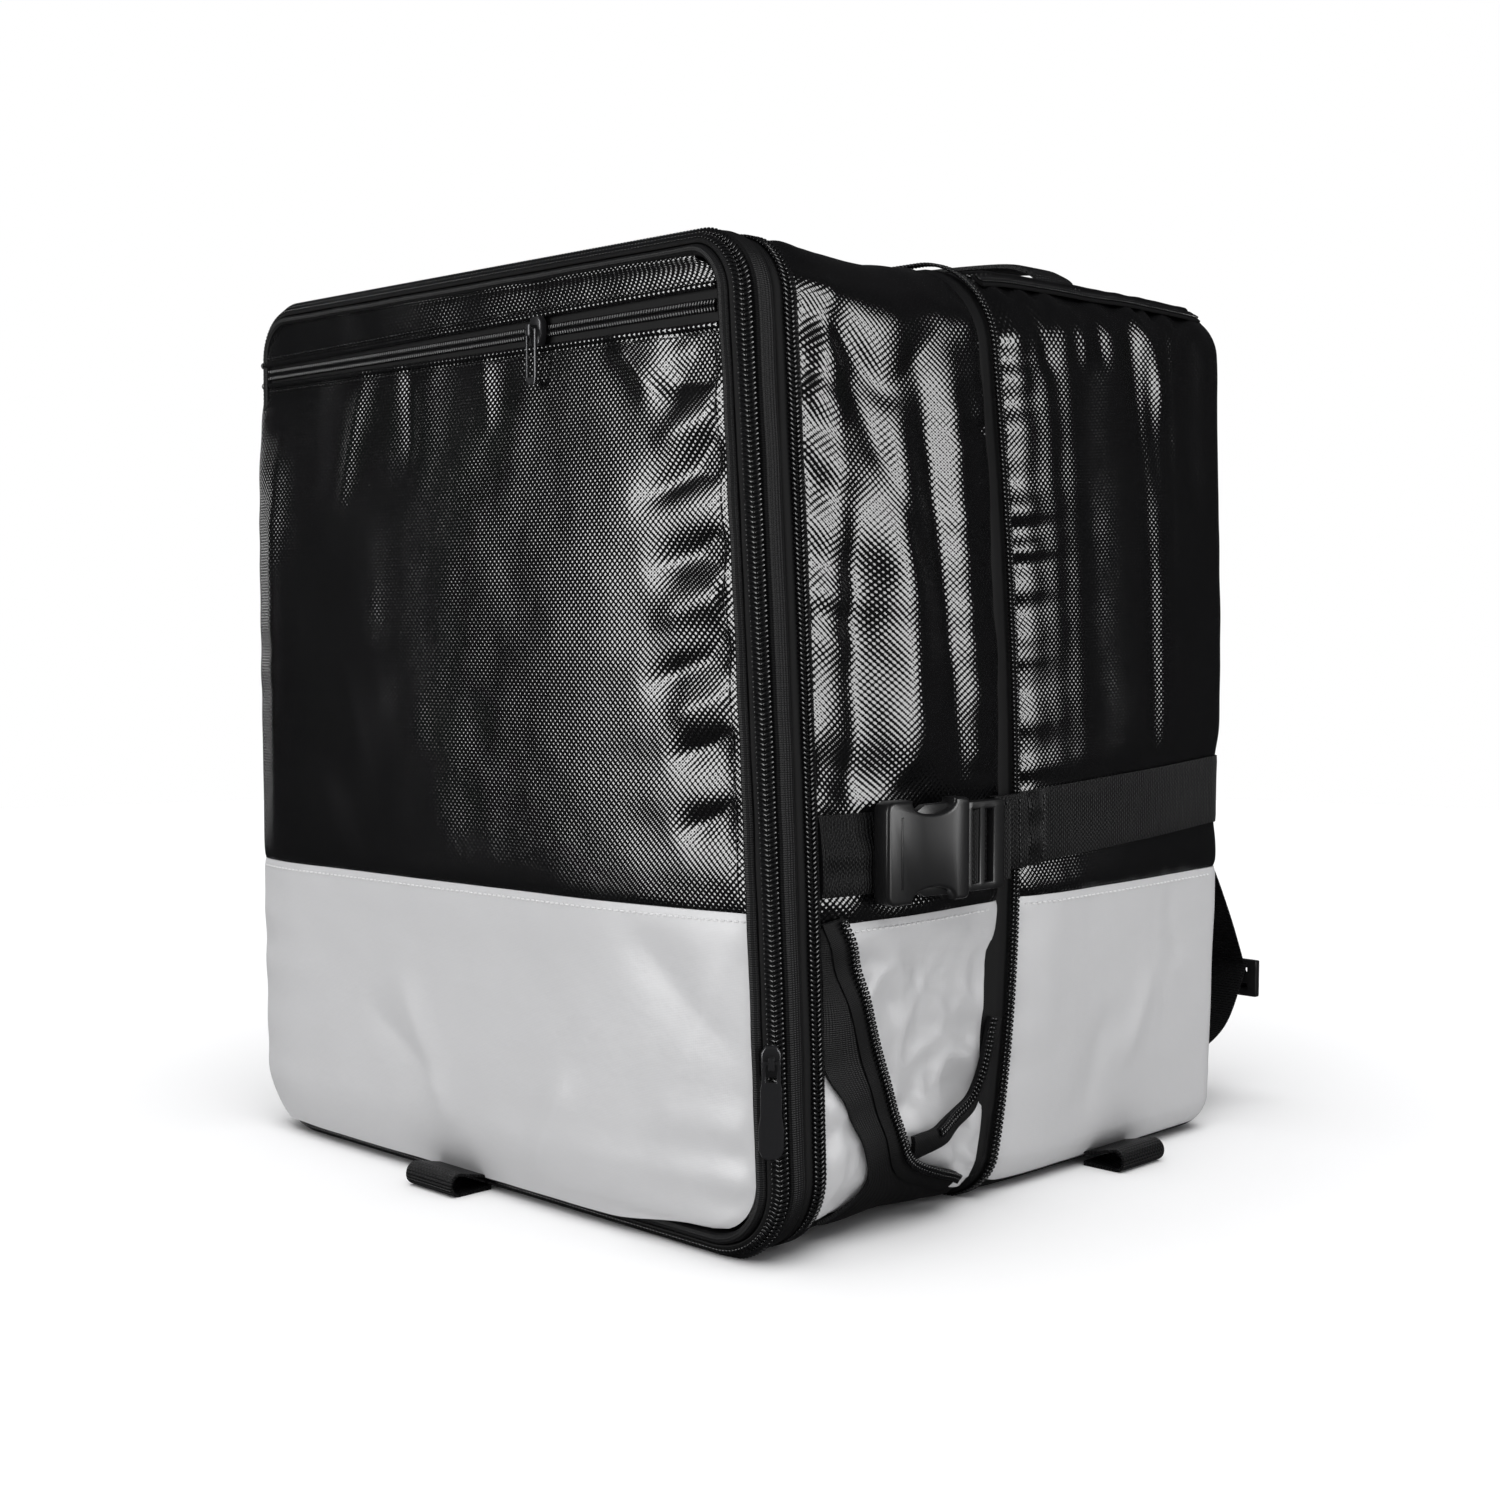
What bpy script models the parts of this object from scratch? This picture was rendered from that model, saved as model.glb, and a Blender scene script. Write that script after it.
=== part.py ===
"""Insulated delivery backpack, filled and standing on its base.

Metres, +Z up. The door with the zipped pocket faces -Y, the back with the shoulder straps faces +Y.
The origin is the middle of the base, at the level of the floor.
"""

import math
from collections import namedtuple

import bmesh
import bpy
from mathutils import Matrix, Vector

# Main sizes of the filled bag
WIDTH = 0.426
DEPTH = 0.400
HEIGHT = 0.500
SEAM_HEIGHT = 0.163
REAR_RADIUS = 0.018
SIDE_BULGE = 0.010
LEAN_TOP = -0.018
LEAN_BOTTOM = 0.012
RING_BOW = 0.018
FOLD_RELIEF = 0.006

# Walls and clearances
GAP = 0.0003
FACET_GAP = 0.0010
PADDED_WALL = 0.008
GUSSET_WALL = 0.004
WEBBING_THICKNESS = 0.0016
WEBBING_WIDTH = 0.040
TAPE_WIDTH = 0.011
TAPE_THICKNESS = 0.0016

# Front frame and zippers, as widths measured back from the front plane
DOOR_ZIPPER_WIDTH = 0.0095
FRAME_BINDING_WIDTH = 0.0120
EXPANSION_ZIPPER_WIDTH = 0.0163
GUSSET_WIDTH = 0.1145
REAR_ZIPPER_WIDTH = 0.0242
BINDING_WIDTH = 0.0060
BINDING_LIP = 0.0016
RING_HEIGHT = 0.0065
COIL_RISE = 0.0020
TAPE_DROP = 0.0030
LIFT_LENGTH = 0.014
LIFT_FALL = 0.010

# Door and pocket
DOOR_CROWN = 0.0045
DOOR_SKIN = 0.0008
POCKET_STRIP_RECESS = 0.0012
POCKET_DROP = 0.046
POCKET_ZIPPER_HEIGHT = HEIGHT - POCKET_DROP
POCKET_STRIP_LEFT = 0.011
POCKET_STRIP_RIGHT = 0.018
DOOR_SEAM_RISE = 0.006

# Compression straps and their side-release buckles
STRAP_HEIGHT = 0.1970
STRAP_REAR_RISE = 0.0130
FRONT_STRAP_LENGTH = 0.026
SOCKET_LENGTH = 0.0575
SOCKET_WIDTH = 0.052
SOCKET_THICKNESS = 0.0115
SOCKET_CORNER = 0.0045
SCOOP_CENTRE = 0.56
SCOOP_REACH = 0.26
SCOOP_DEPTH = 0.0075
PLUG_LENGTH = 0.0265
PLUG_WIDTH = 0.046
PLUG_CORNER = 0.004
PLUG_SHARE = 0.6
BUCKLE_STAND_OFF = 0.0035
BUCKLE_TILT = math.radians(6)
STRAP_ON_BACK = 0.030
DOUBLED_LENGTH = 0.042

# Zipper sliders and pulls
SLIDER_LENGTH = 0.015
SLIDER_WIDTH = 0.0095
SLIDER_THICKNESS = 0.0045
BRIDGE_WIDTH = 0.0030
BRIDGE_BAR = 0.0012
BRIDGE_PLAY = 0.0010
BRIDGE_HEADROOM = 0.0006
BRIDGE_SUNK = 0.0010
PULL_BAR = 0.0016
PIVOT_RISE = 0.0024
POCKET_SLIDER_X = 0.056
POCKET_PULL_LENGTH = 0.028
DOOR_SLIDER_HEIGHT = 0.103
DOOR_SLIDER_SEAT = (0.0018, -0.0026)
DOOR_PULL_LENGTH = 0.046

# Webbing loops under the base, carry handle and shoulder straps
LOOP_REACH = 0.028
LOOP_HEIGHT = 0.013
LOOP_TAIL_HEIGHT = 0.008
LOOP_FRONT_X = -0.012
LOOP_SIDE_DEPTH = 0.288
HANDLE_DEPTH = 0.365
HANDLE_LENGTH = 0.224
HANDLE_RISE = 0.036
HANDLE_WIDTH = 0.038
HANDLE_THICKNESS = 0.0040
HANDLE_TURN = 0.0060
SHOULDER_SPACING = 0.230
PAD_WIDTH = 0.070
PAD_THICKNESS = 0.012
ADJUSTER_LENGTH = 0.024
ADJUSTER_WIDTH = 0.042
ADJUSTER_THICKNESS = 0.005

# Depths, behind the front plane, where the rings and panels start and stop
DOOR_ZIPPER_END = DOOR_ZIPPER_WIDTH
FRAME_START = DOOR_ZIPPER_END + GAP
FRAME_END = FRAME_START + FRAME_BINDING_WIDTH
EXPANSION_START = FRAME_END + GAP
EXPANSION_END = EXPANSION_START + EXPANSION_ZIPPER_WIDTH
GUSSET_START = EXPANSION_END + GAP
GUSSET_END = GUSSET_START + GUSSET_WIDTH
REAR_ZIPPER_START = GUSSET_END + GAP
REAR_ZIPPER_END = REAR_ZIPPER_START + REAR_ZIPPER_WIDTH
BODY_START = REAR_ZIPPER_END + GAP
BODY_TURN = DEPTH - REAR_RADIUS
BODY_END = BODY_TURN + REAR_RADIUS * math.pi / 2
DOOR_INSET = RING_HEIGHT + BINDING_WIDTH + GAP + FACET_GAP
BACK_INSET = REAR_RADIUS + FACET_GAP
ON_SKIN = 0.0006

# Rows of the panels, which whatever lies on them shares
GUSSET_ROWS = 8
BODY_ROWS = 7
TURN_ROWS = 3

# Sections of the shell from front to back. depth is a share of DEPTH, lean and bulge are shares of the
# lean and bulge above, top and the corner radii are shares of HEIGHT.
Section = namedtuple("Section", "depth lean bulge top radius_top radius_bottom")
SECTIONS = (
    Section(0.000, 1.00, 0.25, 1.000, 0.060, 0.085),
    Section(0.095, 0.80, 0.30, 0.998, 0.062, 0.085),
    Section(0.150, 0.55, 0.70, 0.993, 0.072, 0.095),
    Section(0.250, 0.30, 0.90, 0.990, 0.080, 0.100),
    Section(0.350, 0.10, 0.75, 0.994, 0.086, 0.070),
    Section(0.400, 0.05, 0.80, 1.000, 0.088, 0.052),
    Section(0.440, 0.00, 0.85, 1.000, 0.086, 0.044),
    Section(0.560, 0.00, 1.00, 0.996, 0.072, 0.040),
    Section(0.750, 0.00, 1.00, 0.992, 0.056, 0.040),
    Section(1.000, 0.00, 0.50, 0.990, 0.050, 0.040),
)

# Folds and dents of the side walls. depth and reach are shares of DEPTH, low and high shares of HEIGHT,
# slant moves the fold back, in shares of DEPTH, from its foot to its head, and rise is a share of
# FOLD_RELIEF, outwards where it is positive.
Fold = namedtuple("Fold", "depth low high reach slant rise")
SIDE_FOLDS = (
    Fold(0.150, 0.40, 0.96, 0.030, -0.050, 0.70),
    Fold(0.210, 0.30, 0.90, 0.028, 0.020, -0.80),
    Fold(0.290, 0.34, 0.92, 0.040, -0.030, 0.75),
    Fold(0.350, 0.40, 0.80, 0.022, 0.010, -0.60),
    Fold(0.480, 0.50, 0.90, 0.022, -0.020, 0.60),
    Fold(0.560, 0.36, 0.84, 0.030, 0.020, -0.45),
    Fold(0.765, 0.42, 0.99, 0.018, 0.010, 0.60),
    Fold(0.800, 0.50, 0.99, 0.018, -0.010, -0.55),
    Fold(0.900, 0.45, 0.95, 0.030, 0.020, 0.35),
    Fold(0.265, 0.10, 0.32, 0.070, 0.060, -1.20),
    Fold(0.600, 0.02, 0.30, 0.040, -0.050, 0.35),
    Fold(0.700, 0.02, 0.22, 0.030, 0.040, -0.35),
)

# Creases of the door: place and reach are shares of half its width, low and high shares of HEIGHT, slant
# moves the crease towards +X from foot to head, and rise is a share of FOLD_RELIEF.
DoorFold = namedtuple("DoorFold", "place low high reach slant rise")
DOOR_FOLDS = (
    DoorFold(-0.28, 0.62, 0.91, 0.050, 0.02, 0.40),
    DoorFold(-0.10, 0.72, 0.91, 0.040, 0.02, -0.40),
    DoorFold(0.30, 0.70, 0.91, 0.050, -0.05, -0.45),
    DoorFold(0.52, 0.56, 0.90, 0.090, -0.15, 0.60),
    DoorFold(0.80, 0.74, 0.88, 0.060, 0.10, -0.55),
    DoorFold(0.80, 0.58, 0.70, 0.070, -0.20, 0.60),
    DoorFold(0.84, 0.46, 0.58, 0.060, -0.25, -0.60),
    DoorFold(0.78, 0.36, 0.50, 0.070, -0.30, 0.55),
    DoorFold(0.86, 0.30, 0.42, 0.050, -0.30, -0.45),
    DoorFold(-0.88, 0.40, 0.80, 0.060, 0.04, 0.35),
    DoorFold(-0.55, 0.04, 0.26, 0.070, 0.10, 0.30),
    DoorFold(-0.18, 0.02, 0.18, 0.060, -0.25, -0.30),
    DoorFold(0.70, 0.08, 0.30, 0.090, 0.25, 0.35),
)

# The two loose ends of the expansion zipper on the lower side: depth as a share of DEPTH, height of HEIGHT
FRONT_TAPE_ROUTE = (
    (0.117, 0.312),
    (0.150, 0.240),
    (0.190, 0.164),
    (0.235, 0.096),
    (0.285, 0.056),
    (0.345, 0.036),
)
REAR_TAPE_ROUTE = (
    (0.366, 0.235),
    (0.350, 0.180),
    (0.325, 0.138),
    (0.292, 0.110),
    (0.266, 0.104),
)

# Black facing beside the front tape: height as a share of HEIGHT, then its front and rear edge of DEPTH
FACING_ROWS = (
    (0.272, 0.099, 0.112),
    (0.240, 0.099, 0.130),
    (0.192, 0.100, 0.156),
    (0.140, 0.130, 0.188),
    (0.092, 0.158, 0.216),
    (0.060, 0.178, 0.254),
)

# Divisions of the outline's six stretches from the middle of the base up to the middle of the top
DIVISIONS = (2, 4, 3, 6, 4, 3)

# Colours of the real materials: base colour, roughness
FINISHES = {
    "coated_black": ((0.012, 0.012, 0.013), 0.35),
    "silver_fabric": ((0.42, 0.43, 0.44), 0.45),
    "webbing_black": ((0.015, 0.015, 0.016), 0.80),
    "binding_black": ((0.020, 0.020, 0.021), 0.70),
    "zipper_black": ((0.014, 0.014, 0.015), 0.40),
    "buckle_plastic": ((0.022, 0.022, 0.024), 0.45),
    "pull_metal": ((0.030, 0.030, 0.032), 0.30),
    "padded_mesh": ((0.018, 0.018, 0.020), 0.85),
}


def clear_scene():
    for leftover in list(bpy.data.objects):
        bpy.data.objects.remove(leftover)


def finish(name):
    found = bpy.data.materials.get(name)
    if found:
        return found
    colour, roughness = FINISHES[name]
    made = bpy.data.materials.new(name)
    made.use_nodes = True
    shader = made.node_tree.nodes["Principled BSDF"]
    shader.inputs["Base Color"].default_value = (*colour, 1)
    shader.inputs["Roughness"].default_value = roughness
    return made


def add_object(name, mesh_data, material):
    """A named object from a bmesh, its faces turned outwards."""
    bmesh.ops.recalc_face_normals(mesh_data, faces=mesh_data.faces)
    mesh = bpy.data.meshes.new(name)
    mesh_data.to_mesh(mesh)
    mesh_data.free()
    mesh.shade_smooth()
    mesh.set_sharp_from_angle(angle=math.radians(40))
    made = bpy.data.objects.new(name, mesh)
    made.data.materials.append(finish(material))
    bpy.context.scene.collection.objects.link(made)
    return made


def mix(low, high, share):
    return low + (high - low) * share


def smooth(share):
    share = min(max(share, 0.0), 1.0)
    return share * share * (3 - 2 * share)


def window(value, low, high):
    """1 well inside low to high, falling smoothly to 0 at both."""
    if value <= low or value >= high:
        return 0.0
    edge = 0.35 * (high - low)
    return smooth((value - low) / edge) * smooth((high - value) / edge)


def section_at(depth):
    share = min(max(depth / DEPTH, 0.0), 1.0)
    for before, after in zip(SECTIONS, SECTIONS[1:]):
        if share <= after.depth:
            part = smooth((share - before.depth) / (after.depth - before.depth))
            return Section(*(mix(a, b, part) for a, b in zip(before, after)))
    return SECTIONS[-1]


def side_relief(depth, height):
    total = 0.0
    for fold in SIDE_FOLDS:
        place = fold.depth + fold.slant * (height / HEIGHT - (fold.low + fold.high) / 2)
        across = (depth / DEPTH - place) / fold.reach
        total += fold.rise * math.exp(-across * across) * window(height / HEIGHT, fold.low, fold.high)
    return total * FOLD_RELIEF


def bow(depth, height):
    """How far the rear zipper hangs back between the top and the base."""
    hang = math.sin(math.pi * min(max(height / HEIGHT, 0.0), 1.0) ** 0.65)
    middle = (REAR_ZIPPER_START + REAR_ZIPPER_END) / 2
    share = (depth - GUSSET_START) / (middle - GUSSET_START)
    if depth > middle:
        share = (BODY_TURN - depth) / (BODY_TURN - middle)
    return RING_BOW * hang * min(max(share, 0.0), 1.0)


def outline(place, depth):
    """The skin's point and outward direction in XZ.

    place runs 0 to 6 from the middle of the base up the right side to the middle of the top, through the
    whole numbers base corner start, base corner end, seam, top corner start, top corner end, and 6 to 12
    down the left side.
    """
    place %= 12
    side = 1 if place <= 6 else -1
    run = place if place <= 6 else 12 - place
    here = section_at(depth)
    half = WIDTH / 2
    top = here.top * HEIGHT
    low_radius = here.radius_bottom * HEIGHT
    top_radius = here.radius_top * HEIGHT
    stretch = min(int(run), 5)
    share = run - stretch
    turn = share * math.pi / 2
    if stretch == 0:
        x, z, across, up = share * (half - low_radius), 0.0, 0.0, -1.0
    elif stretch == 1:
        across, up = math.sin(turn), -math.cos(turn)
        x, z = half - low_radius + low_radius * across, low_radius + low_radius * up
    elif stretch == 2:
        x, z, across, up = half, mix(low_radius, SEAM_HEIGHT, share), 1.0, 0.0
    elif stretch == 3:
        x, z, across, up = half, mix(SEAM_HEIGHT, top - top_radius, share), 1.0, 0.0
    elif stretch == 4:
        across, up = math.cos(turn), math.sin(turn)
        x, z = half - top_radius + top_radius * across, top - top_radius + top_radius * up
    else:
        x, z, across, up = (1 - share) * (half - top_radius), top, 0.0, 1.0
    x += (x / half) * spread(side, z, here)
    return x * side, z, across * side, up


def spread(side, height, here):
    """How far the side stands out from the straight box at a height."""
    share = min(max(height / (here.top * HEIGHT), 0.0), 1.0)
    out = SIDE_BULGE * here.bulge * math.sin(math.pi * share) ** 0.8
    if side > 0:
        out += here.lean * mix(LEAN_BOTTOM, LEAN_TOP, share)
    return out


def skin(place, depth, out=0.0):
    """A point on the shell. Past BODY_TURN depth runs round the rear edge and on across the back."""
    along = min(depth, BODY_TURN)
    x, z, across, up = outline(place, along)
    if depth <= BODY_TURN:
        out += side_relief(along, z) * abs(across)
        return Vector((x + across * out, along + bow(along, z) - DEPTH / 2, z + up * out))
    turn = min((depth - BODY_TURN) / REAR_RADIUS, math.pi / 2)
    rest = depth - BODY_TURN - turn * REAR_RADIUS
    fade = side_relief(along, z) * abs(across) * math.cos(turn)
    out_here = (REAR_RADIUS + out) * math.cos(turn) - REAR_RADIUS - rest + fade
    y = BODY_TURN + (REAR_RADIUS + out) * math.sin(turn) - DEPTH / 2
    return Vector((x + across * out_here, y, z + up * out_here))


def place_at(height, depth):
    """The place on the right side at a height."""
    here = section_at(min(depth, BODY_TURN))
    low_radius = here.radius_bottom * HEIGHT
    corner = (here.top - here.radius_top) * HEIGHT
    if height < low_radius:
        return 1 + math.acos(1 - height / low_radius) / (math.pi / 2)
    if height < SEAM_HEIGHT:
        return 2 + (height - low_radius) / (SEAM_HEIGHT - low_radius)
    if height < corner:
        return 3 + (height - SEAM_HEIGHT) / (corner - SEAM_HEIGHT)
    return 4 + math.asin(min((height - corner) / (here.radius_top * HEIGHT), 1.0)) / (math.pi / 2)


def side_point(side, depth, height, out):
    place = place_at(height, depth)
    return skin(place if side > 0 else 12 - place, depth, out)


def stations(start, end):
    """Places from start to end, with each stretch of the outline divided as DIVISIONS says."""
    places = [start]
    stretch = math.floor(start)
    while stretch < end:
        index = stretch % 12
        count = DIVISIONS[index if index < 6 else 11 - index]
        places += [stretch + k / count for k in range(count + 1)]
        stretch += 1
    inside = [p for p in places if start + 1e-6 < p < end - 1e-6]
    return [start, *dict.fromkeys(round(p, 6) for p in inside), end]


def spaced(start, end, count):
    return [mix(start, end, k / count) for k in range(count + 1)]


def sheet_mesh(columns, rows, outer, inner, joined=False):
    """A closed sheet: a grid laid on outer(column, row), given its thickness by inner(column, row)."""
    made = bmesh.new()
    bmesh.ops.create_grid(made, x_segments=columns - 1, y_segments=rows - 1, size=1)
    cell = made.verts.layers.int.new("cell")
    made.verts.ensure_lookup_table()
    for index, vert in enumerate(made.verts):
        vert[cell] = index
        vert.co = outer(index % columns, index // columns)
    if joined:
        bmesh.ops.remove_doubles(made, verts=made.verts, dist=1e-6)
    grown = bmesh.ops.extrude_face_region(made, geom=made.faces[:])
    for vert in grown["geom"]:
        if isinstance(vert, bmesh.types.BMVert):
            vert.co = inner(vert[cell] % columns, vert[cell] // columns)
    return made


def wall_panel(name, places, depths, out, wall, material):
    """A piece of the shell between places and depths, out from the skin and wall thick."""
    made = sheet_mesh(
        len(places),
        len(depths),
        lambda column, row: skin(places[column], depths[row], out),
        lambda column, row: skin(places[column], depths[row], out - wall),
    )
    return add_object(name, made, material)


def ring(name, profile, material):
    """A closed hoop round the shell with a profile of (depth, out) corners."""
    places = stations(0, 12)
    corners = [*profile, profile[0]]
    made = bmesh.new()
    bmesh.ops.create_grid(made, x_segments=len(places) - 1, y_segments=len(corners) - 1, size=1)
    made.verts.ensure_lookup_table()
    for index, vert in enumerate(made.verts):
        depth, out = corners[index // len(places)]
        vert.co = hoop_point(places[index % len(places)], depth, out)
    bmesh.ops.remove_doubles(made, verts=made.verts, dist=1e-6)
    return add_object(name, made, material)


def hoop_point(place, depth, out):
    """A skin point without folds, for the stiff hoops, kept off the floor."""
    along = min(max(depth, 0.0), DEPTH)
    x, z, across, up = outline(place, along)
    lift = min(max(-up, 0.0), 1.0) * max(out, 0.0)
    return Vector((x + across * out, depth + bow(along, z) - DEPTH / 2, z + up * out + lift))


def over_zipper(depth):
    """How far a strap is lifted where it crosses the rear zipper's coil."""
    start = GUSSET_END - TAPE_WIDTH
    if depth < start:
        return 0.0
    rise = smooth((depth - start) / TAPE_WIDTH)
    fall = smooth((BODY_START + LIFT_LENGTH - depth) / LIFT_FALL)
    return COIL_RISE * rise * fall


def side_patch(name, side, rows, low, high, material, divisions=3):
    """A strip on a side wall, lifted over the rear zipper. Each row is its two (depth, height) ends."""

    def point(column, row, out):
        (depth_a, height_a), (depth_b, height_b) = rows[row]
        share = column / divisions
        depth = mix(depth_a, depth_b, share)
        return side_point(side, depth, mix(height_a, height_b, share), out + over_zipper(depth))

    made = sheet_mesh(
        divisions + 1,
        len(rows),
        lambda column, row: point(column, row, high),
        lambda column, row: point(column, row, low),
    )
    return add_object(name, made, material)


def curve_through(points, steps):
    """Points of a smooth curve through the given ones, which may have any number of coordinates."""
    points = [Vector(p) for p in points]
    ends = [2 * points[0] - points[1], *points, 2 * points[-1] - points[-2]]
    found = []
    for a, b, c, d in zip(ends, ends[1:], ends[2:], ends[3:]):
        squared = 2 * a - 5 * b + 4 * c - d
        cubed = 3 * b - a - 3 * c + d
        for k in range(steps):
            s = k / steps
            found.append(0.5 * (2 * b + (c - a) * s + squared * s**2 + cubed * s**3))
    return [*found, points[-1]]


def ribbon_rows(route, width):
    """Rows of two ends across a flat route of (depth, height) points."""
    points = curve_through(route, 2)
    rows = []
    for index, here in enumerate(points):
        run = points[min(index + 1, len(points) - 1)] - points[max(index - 1, 0)]
        across = Vector((-run.y, run.x)).normalized() * width / 2
        rows.append((tuple(here - across), tuple(here + across)))
    return rows


def band(name, route, across, thickness, material, steps=4):
    """A flat band through centre points. across gives its width and direction at each of them."""
    centres = curve_through(route, steps)
    widths = curve_through(across, steps)
    normals = []
    for index in range(len(centres)):
        run = centres[min(index + 1, len(centres) - 1)] - centres[max(index - 1, 0)]
        normals.append(run.cross(widths[index]).normalized() * thickness / 2)

    def point(column, row, side):
        return centres[row] + widths[row] * (column - 0.5) + normals[row] * side

    made = sheet_mesh(2, len(centres), lambda c, r: point(c, r, 1), lambda c, r: point(c, r, -1))
    return add_object(name, made, material)


def outline_solid(outline_points, thickness, bevel=0.0):
    """A plate in XY with its outline's points, from z 0 to thickness, its long edges bevelled."""
    made = bmesh.new()
    face = made.faces.new([made.verts.new((x, y, 0)) for x, y in outline_points])
    grown = bmesh.ops.extrude_face_region(made, geom=[face])
    moved = [v for v in grown["geom"] if isinstance(v, bmesh.types.BMVert)]
    bmesh.ops.translate(made, verts=moved, vec=(0, 0, thickness))
    if bevel:
        rim = [e for e in made.edges if abs(e.verts[0].co.z - e.verts[1].co.z) < 1e-7]
        bmesh.ops.bevel(made, geom=rim, offset=bevel, segments=1, profile=0.5, affect="EDGES", material=-1)
    return made


# Shell


def make_rings():
    low = -RING_HEIGHT
    ring(
        "door_binding",
        (
            (-0.75 * BINDING_LIP, low - GAP - BINDING_WIDTH),
            (-BINDING_LIP, low - GAP - BINDING_WIDTH / 2),
            (-0.5 * BINDING_LIP, low - GAP),
            (PADDED_WALL, low - GAP),
            (PADDED_WALL, low - GAP - BINDING_WIDTH),
        ),
        "binding_black",
    )
    ring(
        "door_zipper",
        (
            (0.0002, low),
            (0.0002, -0.0045),
            (0.0035, -0.0006),
            (DOOR_ZIPPER_END, 0.0),
            (DOOR_ZIPPER_END, low),
        ),
        "zipper_black",
    )
    ring(
        "frame_binding",
        (
            (FRAME_START, low),
            (FRAME_START, 0.0002),
            (mix(FRAME_START, FRAME_END, 0.5), 0.0014),
            (FRAME_END, 0.0002),
            (FRAME_END, low),
        ),
        "binding_black",
    )
    tape_end = mix(EXPANSION_START, EXPANSION_END, 0.30)
    ring(
        "front_expansion_zipper",
        (
            (EXPANSION_START, low),
            (EXPANSION_START, -TAPE_DROP),
            (tape_end, -TAPE_DROP),
            (mix(tape_end, EXPANSION_END, 0.25), COIL_RISE),
            (EXPANSION_END, COIL_RISE * 0.4),
            (EXPANSION_END, low),
        ),
        "zipper_black",
    )
    groove_end = mix(REAR_ZIPPER_START, REAR_ZIPPER_END, 0.48)
    ring(
        "rear_expansion_zipper",
        (
            (REAR_ZIPPER_START, low),
            (REAR_ZIPPER_START, -TAPE_DROP),
            (groove_end, -TAPE_DROP),
            (mix(groove_end, REAR_ZIPPER_END, 0.20), COIL_RISE),
            (REAR_ZIPPER_END, COIL_RISE * 0.3),
            (REAR_ZIPPER_END, low),
        ),
        "zipper_black",
    )


def body_depths():
    return [*spaced(BODY_START, BODY_TURN, BODY_ROWS), *spaced(BODY_TURN, BODY_END, TURN_ROWS)[1:]]


def make_shell():
    base_edge = 1.5
    seam_gap = GAP / (HEIGHT - SEAM_HEIGHT)
    low_gap = GAP / SEAM_HEIGHT
    edge_gap = GAP / (SECTIONS[-1].radius_bottom * HEIGHT)
    gusset = spaced(GUSSET_START, GUSSET_END, GUSSET_ROWS)
    for part, depths, wall in (("gusset", gusset, GUSSET_WALL), ("body", body_depths(), PADDED_WALL)):
        upper = stations(3 + seam_gap, 9 - seam_gap)
        right = stations(base_edge + edge_gap, 3 - low_gap)
        left = [12 - place for place in reversed(right)]
        floor = stations(-base_edge, base_edge)
        wall_panel(f"{part}_upper", upper, depths, 0.0, wall, "coated_black")
        wall_panel(f"{part}_lower_right", right, depths, 0.0, wall, "silver_fabric")
        wall_panel(f"{part}_lower_left", left, depths, 0.0, wall, "silver_fabric")
        wall_panel(f"{part}_base", floor, depths, 0.0, wall, "binding_black")


def edge_at(side, height, depth, inset):
    """X of the outline at a height, drawn in by inset."""
    here = section_at(depth)
    half = WIDTH / 2 - inset
    top = here.top * HEIGHT - inset
    high = max(here.radius_top * HEIGHT - inset, 1e-4)
    low = max(here.radius_bottom * HEIGHT - inset, 1e-4)
    x = half
    if height > top - high:
        x = half - high + math.sqrt(max(high**2 - (height - top + high) ** 2, 0.0))
    elif height < inset + low:
        x = half - low + math.sqrt(max(low**2 - (inset + low - height) ** 2, 0.0))
    return side * (x + (x / half) * spread(side, height, here))


def face_panel(name, low, high, shares, columns, depth, inset, outer, inner, material):
    """A flat panel across the front or the back between two edges, given as heights at a place across."""

    def point(column, row, level):
        across = columns[column]
        height = mix(low(across), high(across), shares[row])
        x = mix(edge_at(-1, height, depth, inset), edge_at(1, height, depth, inset), (across + 1) / 2)
        return Vector((x, level(across, height) - DEPTH / 2, height))

    made = sheet_mesh(
        len(columns), len(shares), lambda c, r: point(c, r, outer), lambda c, r: point(c, r, inner)
    )
    return add_object(name, made, material)


def door_level(across, height):
    """Depth of the door's outer face, with its crown and creases."""
    crown = DOOR_CROWN * (1 - across**2) * math.sin(math.pi * height / HEIGHT)
    total = 0.0
    for fold in DOOR_FOLDS:
        place = fold.place + fold.slant * (height / HEIGHT - (fold.low + fold.high) / 2)
        off = (across - place) / fold.reach
        total += fold.rise * math.exp(-off * off) * window(height / HEIGHT, fold.low, fold.high)
    edge = smooth((1 - abs(across)) / 0.06)
    return DOOR_SKIN - crown - total * FOLD_RELIEF * edge


def corner_shares(count, reverse=False):
    """Shares of a height that crowd towards the rounded end."""
    shares = [1 - math.cos(math.pi / 2 * k / count) for k in range(count + 1)]
    return [1 - s for s in reversed(shares)] if reverse else shares


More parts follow.
